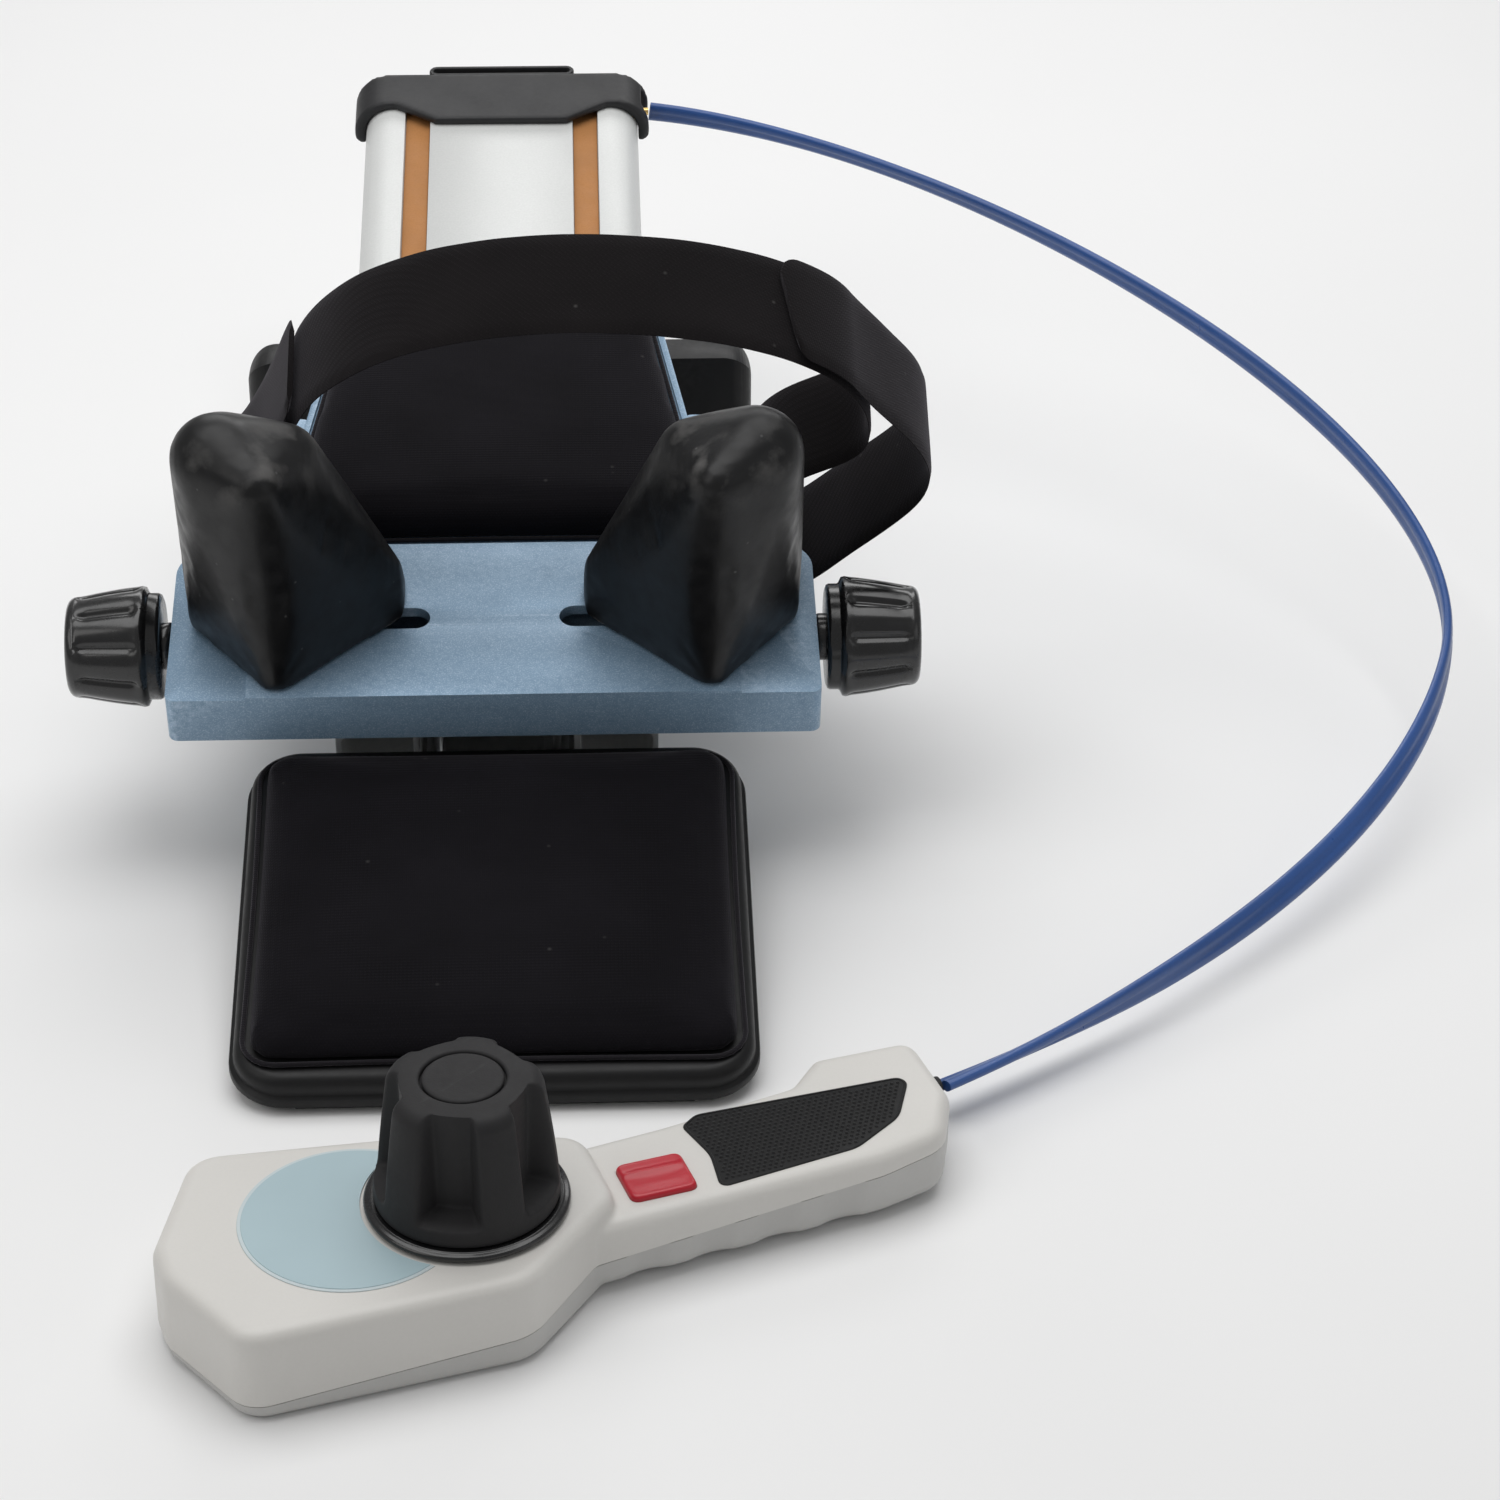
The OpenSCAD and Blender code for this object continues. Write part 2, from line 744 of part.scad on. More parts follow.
module grip_plan() {
    polygon(rounded_path([[30, -23.5, 3], [150, -17.5, 30], [175, -12, 14], [186.5, 10, 12],
        [186, 46.5, 7], [147, 47.5, 5], [133.5, 34.5, 7], [80, 28, 20], [30, 25, 3]]));
}

// Cylinders of radius r along the front of the grip, 25 apart
module finger_row(r, low) {
    for (i = [0 : 3]) translate([60 + 25 * i, -43.5 + 1.25 * i, low]) cylinder(r = r, h = 26);
}

module handset_outside() {
    linear_extrude(head_h) head_plan();
    translate([0, 0, 1.5]) linear_extrude(grip_h - 1.5) grip_plan();
}

module handset_inside() {
    low = shell_t + 1;
    difference() {
        union() {
            translate([0, 0, low]) linear_extrude(head_h - shell_t - low)
                offset(r = -shell_t) head_plan();
            translate([0, 0, low]) linear_extrude(grip_h - shell_t - low)
                offset(r = -shell_t - 2.5) grip_plan();
        }
        shell_screw_sites() cylinder(r = 4, h = head_h);
    }
}

module shell_screw_sites() {
    for (p = [[-94, 4], [-70, -38], [96, 16], [172, 9]]) translate(p) children();
}

// Block of the given height whose low face lies on the slanting seam, moved by offset
module seam_block(offset, height) {
    rotate([0, -atan(seam_rise), 0]) translate([-200, -100, seam_z + offset])
        cube([450, 200, height]);
}

module hose_bore() {
    translate([tip_c[0] - 20, tip_c[1], 14]) rotate([0, 90, 0]) cylinder(r = 4.1, h = 40);
}

module handset_lower_shell() {
    color([0.8, 0.8, 0.78]) on_handset() difference() {
        handset_outside();
        seam_block(-eps, 80);
        finger_row(23, -1);
        difference() {
            handset_inside();
            finger_row(25.5, 0);
        }
        shell_screw_sites() translate([0, 0, -1]) cylinder(r = 1.6, h = 25);
        shell_screw_sites() translate([0, 0, -1]) cylinder(r = 3.2, h = 4.5);
        hose_bore();
    }
}

module handset_upper_shell() {
    color([0.87, 0.86, 0.83]) on_handset() difference() {
        handset_outside();
        seam_block(-80, 80);
        handset_inside();
        shell_screw_sites() cylinder(r = 1.6, h = 24);
        cylinder(r = 8 + slip, h = 60);
        translate([button_c[0], button_c[1], 20]) linear_extrude(30) rounded_rect(25, 21, 3);
        hose_bore();
    }
}

module label_disc() {
    color("lightblue") on_handset() translate([0, 0, head_h + eps]) linear_extrude(0.6) difference() {
        translate([-40.5, 3.5]) circle(r = 39.5);
        circle(r = 37.5);
    }
}

module grip_inlay() {
    color([0.1, 0.1, 0.11]) on_handset() translate([0, 0, grip_h + eps]) linear_extrude(0.8)
        polygon(rounded_path([[88, -15, 3], [142, -10, 16], [163, 2, 16], [176, 24, 4],
            [94, 28, 6], [87, 23, 3], [91, 4, 20]]));
}

module pump_chamber() {
    color("silver") on_handset() difference() {
        translate([0, 0, shell_t + 1 + eps]) cylinder(r = chamber_od / 2, h = 24);
        translate([0, 0, shell_t + 3]) cylinder(r = chamber_id / 2, h = 40);
    }
}

module spindle_gland() {
    low = 28.2;
    color("goldenrod") on_handset() difference() {
        union() {
            translate([0, 0, head_h - shell_t - 2]) cylinder(r = 12, h = 2 - eps);
            translate([0, 0, low + 4]) cylinder(r = 8, h = head_h - low - 4);
        }
        translate([0, 0, low]) cylinder(r = 5 + slip, h = 20);
    }
}

module valve_body() {
    color("goldenrod") on_handset() translate([button_c[0], button_c[1], shell_t + 1 + eps])
        difference() {
            translate([-8, -7, 0]) cube([16, 14, 14]);
            translate([0, 0, 3]) cylinder(r = 3, h = 20);
        }
}

module pressure_tube() {
    color("steelblue") on_handset() {
        translate([38, 4, 9]) rotate([0, 90, 0]) cylinder(r = 2, h = 22.4);
        translate([76.6, 2, 9]) rotate([0, 90, 0]) cylinder(r = 2, h = 80);
        translate([156.6, 2, 9]) sphere(r = 2.4);
        translate([156.6, 2, 9]) rotate([0, 0, atan2(tip_c[1] - 2, 12)])
            rotate([0, 78, 0]) cylinder(r = 2, h = 31);
    }
}

module hose_connector() {
    color([0.15, 0.15, 0.16]) on_handset() translate([tip_c[0] - 17, tip_c[1], 14])
        rotate([0, 90, 0]) {
            cylinder(r = 6, h = 6);
            translate([0, 0, 6]) cylinder(r = 4, h = 16);
        }
}

// Flat hose from the end cap's outlet round to the handset's tip
module air_hose() {
    start = [outlet_x + 14.5, world_y(outlet_v, outlet_h), world_z(outlet_v, outlet_h)];
    tip = [tip_c[0] + 7, tip_c[1]];
    turn = handset_turn;
    finish = [dial_x + tip[0] * cos(turn) - tip[1] * sin(turn),
        dial_y - setback + tip[0] * sin(turn) + tip[1] * cos(turn), 14];
    bend = [402, 237, 46];
    path = joined(bezier([start, start + [153, 0, -18], bend + [39, 141, 32], bend], 22),
        bezier([bend, bend - [20.0, 72.3, 16.4], finish + [140, 86, 0], finish], 22));
    sides = 12;
    n = len(path) - 1;
    ring = function (i) let (d = along(path, i), side = unit(cross(d, [0, 0, 1])),
        up = cross(side, d), lean = 165 + 30 * i / n - 65 * sin(180 * i / n))
        [for (k = [0 : sides - 1]) let (a = 360 * k / sides,
            p = [hose_w / 2 * cos(a), hose_t / 2 * sin(a)])
            path[i] + side * (p[0] * cos(lean) - p[1] * sin(lean))
                + up * (p[0] * sin(lean) + p[1] * cos(lean))];
    color("royalblue") polyhedron(
        points = [for (i = [0 : n]) each ring(i)],
        faces = concat([[for (k = [0 : sides - 1]) k]],
            [for (i = [0 : n - 1], k = [0 : sides - 1]) let (a = i * sides + k,
                b = i * sides + (k + 1) % sides) each [[a, a + sides, b], [b, a + sides, b + sides]]],
            [[for (k = [sides - 1 : -1 : 0]) n * sides + k]]));
}

module hose_swivel() {
    color("goldenrod") translate([outlet_x, world_y(outlet_v, outlet_h), world_z(outlet_v, outlet_h)])
        difference() {
            union() {
                translate([0, 0, -3]) cylinder(r = 5.5, h = 6);
                rotate([0, 90, 0]) cylinder(r = 1.8, h = 13.9);
            }
            translate([0, 0, -5]) cylinder(r = 3 + slip, h = 10);
        }
}

module handset_screws() {
    color("lightgray") on_handset() shell_screw_sites() translate([0, 0, 3.5 - eps])
        screw(3, 2, 1.5, 18);
}

// ---- Control knob ----

module control_knob() {
    low = head_h + 4;
    pockets = 5;
    color([0.23, 0.23, 0.24]) on_handset() difference() {
        translate([0, 0, low + eps]) cylinder(r1 = dial_d / 2, r2 = dial_d / 2 - 5, h = dial_h - 4);
        for (i = [0 : pockets - 1]) rotate([0, 0, 26 + 360 / pockets * i])
            translate([dial_d / 2 + 5, 0, low + 8]) cylinder(r = 14, h = dial_h);
        translate([0, 0, low - 1]) cylinder(r = 5 + eps, h = 36);
        translate([0, 0, head_h + dial_h - 2]) cylinder(r = 14.5, h = 3);
    }
}

module knob_skirt() {
    color([0.06, 0.06, 0.07]) on_handset() difference() {
        translate([0, 0, head_h + 0.8]) cylinder(r = 36, h = 3.2 - eps);
        translate([0, 0, head_h]) cylinder(r = 8.5, h = 6);
    }
}

module knob_cap() {
    color([0.25, 0.25, 0.26]) on_handset() translate([0, 0, head_h + dial_h - 2 + eps])
        cylinder(r = 14, h = 2.5);
}

module dial_spindle() {
    color("lightgray") on_handset() translate([0, 0, 18]) cylinder(r = 5, h = head_h + 38 - 18);
}

// ---- Hand pump ----

module pump_plunger() {
    disc = 16;
    color("ivory") on_handset() difference() {
        union() {
            translate([0, 0, disc]) cylinder(r = chamber_id / 2 - 0.09, h = 6);
            translate([0, 0, disc]) cylinder(r = 9, h = 16);
        }
        translate([0, 0, 17.8]) cylinder(r = 5 + slip, h = 30);
        translate([0, 0, disc + 1.5]) difference() {
            cylinder(r = chamber_id / 2 + 1, h = 3);
            translate([0, 0, -1]) cylinder(r = chamber_id / 2 - 2.5, h = 5);
        }
    }
}

module plunger_seal() {
    color([0.1, 0.1, 0.1]) on_handset() translate([0, 0, 17.55]) difference() {
        cylinder(r = chamber_id / 2 - 0.04, h = 2.9);
        translate([0, 0, -1]) cylinder(r = chamber_id / 2 - 2.45, h = 5);
    }
}

// ---- Release valve ----

module release_button() {
    color("crimson") on_handset() translate([button_c[0], button_c[1], grip_h - 4])
        linear_extrude(7) rounded_rect(24.8, 20.8, 2.9);
}

module valve_stem() {
    color("goldenrod") on_handset() translate([button_c[0], button_c[1], 10.5])
        cylinder(r = 2.9, h = grip_h - 4 - 10.5 - eps);
}

// Coil of round wire between the valve body and the button
module button_spring() {
    low = shell_t + 1 + 14;
    high = grip_h - 4;
    coil_r = 5;
    wire_r = 0.5;
    turns = 4;
    steps = 16 * turns;
    sides = 6;
    rise = high - low - 2 * wire_r - 0.2;
    at = function (i) let (a = 360 * turns * i / steps)
        [coil_r * cos(a), coil_r * sin(a), low + wire_r + 0.1 + rise * i / steps];
    color("lightgray") on_handset() translate([button_c[0], button_c[1], 0]) polyhedron(
        points = [for (i = [0 : steps], k = [0 : sides - 1]) let (p = at(i),
            out = unit([p[0], p[1], 0]), a = 360 * k / sides)
            p + wire_r * (out * cos(a) + [0, 0, 1] * sin(a))],
        faces = concat([[for (k = [0 : sides - 1]) k]],
            [for (i = [0 : steps - 1], k = [0 : sides - 1]) let (a = i * sides + k,
                b = i * sides + (k + 1) % sides) each [[a, a + sides, b], [b, a + sides, b + sides]]],
            [[for (k = [sides - 1 : -1 : 0]) steps * sides + k]]));
}

track_extrusion();
glide_strips();
end_cap();
carry_handle();
shoulder_plate();
shoulder_cushion();
joining_bracket();
frame_screws();
front_foot();
stand_bracket();
stand_pin();
cylinder_tube();
cylinder_gland();
cylinder_plug();
cylinder_saddles();
air_line();
swivel_post();
head_carriage();
carriage_cover();
carriage_keeper();
slide_shoes();
drive_lug();
piston_rod();
piston();
piston_seal();
rod_nuts();
head_cushion();
head_strap();
carriage_screws();
spindle_bushes();
wedge_pad_right();
wedge_carrier_right();
wedge_pad_left();
wedge_carrier_left();
wedge_spindle();
side_knob_right();
side_knob_left();
stand_leg();
stand_feet();
handset_upper_shell();
handset_lower_shell();
label_disc();
grip_inlay();
pump_chamber();
spindle_gland();
valve_body();
pressure_tube();
hose_connector();
air_hose();
hose_swivel();
handset_screws();
control_knob();
knob_skirt();
knob_cap();
dial_spindle();
pump_plunger();
plunger_seal();
release_button();
valve_stem();
button_spring();
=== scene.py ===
import json
import math

import bmesh
import bpy
import numpy as np
from mathutils import Matrix, Vector, noise


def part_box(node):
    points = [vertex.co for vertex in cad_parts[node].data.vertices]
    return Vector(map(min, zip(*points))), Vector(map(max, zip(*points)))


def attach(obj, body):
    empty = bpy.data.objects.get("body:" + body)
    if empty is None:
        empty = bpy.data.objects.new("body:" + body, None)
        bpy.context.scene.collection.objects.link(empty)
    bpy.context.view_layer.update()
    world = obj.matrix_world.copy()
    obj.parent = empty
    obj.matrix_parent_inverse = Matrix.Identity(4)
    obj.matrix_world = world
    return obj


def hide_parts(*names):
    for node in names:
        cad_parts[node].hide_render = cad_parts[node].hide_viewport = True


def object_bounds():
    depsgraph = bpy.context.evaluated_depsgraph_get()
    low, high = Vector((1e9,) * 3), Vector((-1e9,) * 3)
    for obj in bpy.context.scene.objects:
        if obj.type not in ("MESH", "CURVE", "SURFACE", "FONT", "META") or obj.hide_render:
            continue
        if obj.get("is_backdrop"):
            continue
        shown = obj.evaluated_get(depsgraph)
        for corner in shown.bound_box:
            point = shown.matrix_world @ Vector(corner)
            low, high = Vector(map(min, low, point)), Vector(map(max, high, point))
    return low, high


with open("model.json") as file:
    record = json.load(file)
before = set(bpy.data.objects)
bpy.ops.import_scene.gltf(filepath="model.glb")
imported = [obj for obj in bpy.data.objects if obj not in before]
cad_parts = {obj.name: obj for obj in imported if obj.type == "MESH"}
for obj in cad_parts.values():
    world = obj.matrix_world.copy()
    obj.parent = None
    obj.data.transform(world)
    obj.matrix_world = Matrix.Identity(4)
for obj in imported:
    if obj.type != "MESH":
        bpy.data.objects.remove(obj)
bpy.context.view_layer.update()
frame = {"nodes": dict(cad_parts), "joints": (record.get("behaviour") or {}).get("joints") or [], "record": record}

# ---- places, read from the frame

MM = 0.001
# Release button's centre from the dial's axis, along and across the handset, in millimetres
BUTTON_OFF_DIAL = (68.5, -2.5)
NODES = frame["nodes"]
JOINTS = {j["name"]: j for j in frame["joints"]}
MILLIMETRES = Matrix.Scale(MM, 4)


def span(node, place):
    """Lowest and highest corner of a CAD node in millimetres, in the frame that place leads out of."""
    inverse = (place @ MILLIMETRES).inverted()
    co = np.array([inverse @ v.co for v in NODES[node].data.vertices])
    return Vector(co.min(0)), Vector(co.max(0))


def middle(node):
    low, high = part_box(node)
    return (low + high) / 2


def track_place():
    """Rigid move from the track's own frame (x, up the incline, off the track) to the row frame."""
    axis = JOINTS["carriage_slide"]["axis"]
    turn = Matrix.Rotation(math.atan2(axis[2], axis[1]), 4, "X")
    low = span("shoulder_plate", turn)[0] * MM
    return turn @ Matrix.Translation((0, low.y, low.z))


def handset_place():
    """Rigid move from the handset's own frame (origin on the dial's axis) to the row frame."""
    dial, button = middle("dial_spindle"), middle("valve_stem")
    turn = math.atan2(button.y - dial.y, button.x - dial.x)
    turn -= math.atan2(BUTTON_OFF_DIAL[1], BUTTON_OFF_DIAL[0])
    return Matrix.Translation((dial.x, dial.y, 0)) @ Matrix.Rotation(turn, 4, "Z")


TRACK = track_place()
HANDSET = handset_place()
MIRROR = Matrix.Scale(-1, 4, (1, 0, 0))
LOOKS = {}

# ---- outlines


def arc_corner(a, b, c, radius):
    """Points that round the corner b between a and c."""
    a, b, c = Vector(a), Vector(b), Vector(c)
    u, w = (a - b).normalized(), (c - b).normalized()
    half = u.angle(w) / 2
    centre = b + (u + w).normalized() * radius / math.sin(half)
    reach = radius / math.tan(half)
    p, q = b + u * reach - centre, b + w * reach - centre
    start = math.atan2(p.y, p.x)
    sweep = (math.atan2(q.y, q.x) - start + math.pi) % (2 * math.pi) - math.pi
    steps = max(3, int(abs(sweep) * radius / 1.2))
    angles = [start + sweep * i / steps for i in range(steps + 1)]
    return [centre + radius * Vector((math.cos(t), math.sin(t))) for t in angles]


def rounded(corners):
    """Closed outline through (x, y, radius) corners."""
    n = len(corners)
    points = []
    for i, (x, y, radius) in enumerate(corners):
        points += arc_corner(corners[i - 1][:2], (x, y), corners[(i + 1) % n][:2], radius)
    return np.array(points)


def rounded_box(width, depth, radius, centre=(0, 0)):
    x, y = width / 2, depth / 2
    corners = [(-x, -y, radius), (x, -y, radius), (x, y, radius), (-x, y, radius)]
    return rounded(corners) + np.array(centre)


def evenly(path, step, endpoint=True):
    """The same path with points about step apart, with its end point or without."""
    gaps = np.linalg.norm(np.diff(path, axis=0), axis=1)
    along = np.concatenate([[0], np.cumsum(gaps)])
    count = int(along[-1] / step) + 1 if endpoint else max(12, int(round(along[-1] / step)))
    at = np.linspace(0, along[-1], count, endpoint=endpoint)
    return np.column_stack([np.interp(at, along, column) for column in path.T])


def resampled(outline, step):
    """The same closed outline with points about step apart."""
    return evenly(np.vstack([outline, outline[:1]]), step, endpoint=False)


def section(node, place, height):
    """Outer outline of a CAD node cut at a height of its own frame, in millimetres, counterclockwise."""
    bm = bmesh.new()
    bm.from_mesh(NODES[node].data)
    bm.transform((place @ MILLIMETRES).inverted())
    bmesh.ops.remove_doubles(bm, verts=bm.verts, dist=0.001)
    geom = bm.verts[:] + bm.edges[:] + bm.faces[:]
    cut = bmesh.ops.bisect_plane(bm, geom=geom, plane_co=(0, 0, height), plane_no=(0, 0, 1))
    edges = [e for e in cut["geom_cut"] if isinstance(e, bmesh.types.BMEdge)]
    links = {}
    for e in edges:
        a, b = (tuple(round(c, 3) for c in v.co[:2]) for v in e.verts)
        if a != b:
            links.setdefault(a, []).append(b)
            links.setdefault(b, []).append(a)
    bm.free()
    loops = []
    left = set(links)
    while left:
        here = min(left)
        loop = []
        while here in left:
            left.discard(here)
            loop.append(here)
            here = next((p for p in links[here] if p in left), here)
        loops.append(np.array(loop))
    areas = [signed_area(loop) for loop in loops]
    best = max(range(len(loops)), key=lambda i: abs(areas[i]))
    return loops[best] if areas[best] > 0 else loops[best][::-1]


def signed_area(loop):
    x, y = loop[:, 0], loop[:, 1]
    return 0.5 * float(np.sum(x * np.roll(y, -1) - np.roll(x, -1) * y))


def unit(rows):
    return rows / np.maximum(np.linalg.norm(rows, axis=1, keepdims=True), 1e-9)


def inset(outline, distance):
    """A counterclockwise outline moved inwards along its corners' normals."""
    before = unit(outline - np.roll(outline, 1, axis=0))
    after = unit(np.roll(outline, -1, axis=0) - outline)
    tangent = unit(before + after)
    inward = np.column_stack([-tangent[:, 1], tangent[:, 0]])
    stretch = np.clip(np.sum(tangent * after, axis=1, keepdims=True), 0.5, 1)
    return outline + inward * distance / stretch


def quarter(radius, top, steps, start_inset=0.0):
    """(inset, height) pairs of a rounded upper edge that ends at height top."""
    angles = [math.pi / 2 * i / steps for i in range(steps + 1)]
    return [(start_inset + radius * (1 - math.cos(t)), top - radius + radius * math.sin(t)) for t in angles]


def foot_edge(radius, bottom, steps):
    """(inset, height) pairs of a rounded lower edge that starts at height bottom."""
    return [(distance, bottom - height) for distance, height in quarter(radius, 0, steps)][::-1]


def bezier(points, steps):
    a, b, c, d = (np.array(q, float) for q in points)
    return [(1 - t) ** 3 * a + 3 * (1 - t) ** 2 * t * b + 3 * (1 - t) * t * t * c + t ** 3 * d
            for t in np.linspace(0, 1, steps + 1)]


def bezier_chain(curves, steps):
    points = []
    for curve in curves:
        run = bezier(curve, steps)
        points += run if not points else run[1:]
    return np.array(points)


# ---- meshes


def added(name, data):
    """A new object in the scene."""
    obj = bpy.data.objects.new(name, data)
    bpy.context.scene.collection.objects.link(obj)
    return obj


def mesh_object(name, verts, faces, weld=False):
    """A mesh object in metres from millimetre points; weld makes one of points that coincide."""
    mesh = bpy.data.meshes.new(name)
    mesh.from_pydata([tuple(float(c) * MM for c in v) for v in verts], [], faces)
    bm = bmesh.new()
    bm.from_mesh(mesh)
    if weld:
        bmesh.ops.remove_doubles(bm, verts=bm.verts, dist=1e-6)
    bmesh.ops.recalc_face_normals(bm, faces=bm.faces)
    bm.to_mesh(mesh)
    bm.free()
    return added(name, mesh)


def stacked(rings, closed_ends=True):
    """Vertices and faces of a skin through rings of equally many points."""
    n = len(rings[0])
    verts = [tuple(p) for ring in rings for p in ring]
    faces = []
    for i in range(len(rings) - 1):
        for k in range(n):
            a, b = i * n + k, i * n + (k + 1) % n
            faces.append((a, b, b + n, a + n))
    if closed_ends:
        faces.append(tuple(range(n))[::-1])
        faces.append(tuple((len(rings) - 1) * n + k for k in range(n)))
    return verts, faces


def loft(name, outline, profile):
    """A closed solid whose outline moves inwards and up along the profile's (inset, height) pairs."""
    rings = []
    for distance, height in profile:
        moved = inset(outline, distance) if abs(distance) > 1e-6 else outline
        rings.append([(x, y, height) for x, y in moved])
    return mesh_object(name, *stacked(rings))


def prism(name, outline, low, high):
    return loft(name, outline, [(0, low), (0, high)])


def turns(count):
    """Angles that share out a full turn."""
    return [2 * math.pi * k / count for k in range(count)]


def round_outline(centre, radius, segments):
    return np.array([(centre[0] + radius * math.cos(t), centre[1] + radius * math.sin(t))
                     for t in turns(segments)])


def lathe(name, profile, segments=96):
    """A closed solid turned about z from (radius, height) pairs."""
    rings = []
    for radius, height in profile:
        rings.append([(x, y, height) for x, y in round_outline((0, 0), radius, segments)])
    return mesh_object(name, *stacked(rings))


def assign(target, settings):
    for key, value in settings.items():
        setattr(target, key, value)
    return target


def modifier(obj, kind, **settings):
    return assign(obj.modifiers.new(kind.lower(), kind), settings)


def bake(obj):
    """Applies every modifier of a piece."""
    shown = obj.evaluated_get(bpy.context.evaluated_depsgraph_get())
    mesh = bpy.data.meshes.new_from_object(shown)
    old = obj.data
    obj.modifiers.clear()
    obj.data = mesh
    bpy.data.meshes.remove(old)


def discard(*objects):
    for obj in objects:
        mesh = obj.data
        bpy.data.objects.remove(obj)
        bpy.data.meshes.remove(mesh)


def joined(obj, *others):
    """Other meshes' faces moved into obj."""
    bm = bmesh.new()
    bm.from_mesh(obj.data)
    for other in others:
        bm.from_mesh(other.data)
    bm.to_mesh(obj.data)
    bm.free()
    discard(*others)


def remeshed(obj, voxel, smoothing):
    """Gives obj one skin round all of it, with edges softened by smoothing passes."""
    modifier(obj, "REMESH", mode="VOXEL", voxel_size=voxel * MM, use_smooth_shade=True)
    bake(obj)
    modifier(obj, "SMOOTH", factor=0.5, iterations=smoothing)
    bake(obj)


def cut(obj, *tools):
    for tool in tools:
        modifier(obj, "BOOLEAN", operation="DIFFERENCE", object=tool, solver="EXACT")
        bake(obj)
        discard(tool)


def shade(obj, sharp_degrees=38, weighted=True):
    obj.data.polygons.foreach_set("use_smooth", [True] * len(obj.data.polygons))
    obj.data.set_sharp_from_angle(angle=math.radians(sharp_degrees))
    if weighted:
        modifier(obj, "WEIGHTED_NORMAL", keep_sharp=True, weight=60)
        bake(obj)


def place(obj, matrix, body, slot, *nodes, look=None):
    """Puts a finished piece in the row frame, on its body, with its slot's material."""
    obj.data.transform(matrix)
    if matrix.determinant() < 0:
        obj.data.flip_normals()
    obj.data.materials.clear()
    obj.data.materials.append(LOOKS[look or slot])
    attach(obj, body)
    if nodes:
        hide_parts(*nodes)


def copy_of(obj, name):
    return added(name, obj.data.copy())


def inflated(obj, pressure, cap, held, frames=20):
    """Blows a skin up by cloth simulation, at most cap mm; points where held(point in mm) stay put."""
    rest = np.array([v.co for v in obj.data.vertices])
    group = obj.vertex_groups.new(name="held")
    group.add([i for i, co in enumerate(rest) if held(co / MM)], 1.0, "REPLACE")
    sheet = modifier(obj, "CLOTH")
    assign(sheet.settings, dict(
        quality=5, mass=0.3, tension_stiffness=15, compression_stiffness=15, shear_stiffness=5,
        bending_stiffness=0.5, use_pressure=True, uniform_pressure_force=pressure,
        vertex_group_mass="held"))
    sheet.settings.effector_weights.gravity = 0
    scene = bpy.context.scene
    sheet.point_cache.frame_start, sheet.point_cache.frame_end = 1, frames
    for number in range(1, frames + 1):
        scene.frame_set(number)
    bake(obj)
    scene.frame_set(1)
    moved = np.array([v.co for v in obj.data.vertices]) - rest
    length = np.linalg.norm(moved, axis=1, keepdims=True)
    limit = cap * MM
    kept = rest + moved * (np.tanh(length / limit) * limit / np.maximum(length, 1e-9))
    obj.data.vertices.foreach_set("co", kept.astype(np.float32).ravel())
    obj.vertex_groups.clear()


def subdivided(obj):
    modifier(obj, "SUBSURF", levels=1, render_levels=1)
    bake(obj)


def kept_above(obj, level):
    """Lifts every point of a mesh to at least a level in millimetres."""
    for v in obj.data.vertices:
        v.co.z = max(v.co.z, level * MM)


# ---- materials


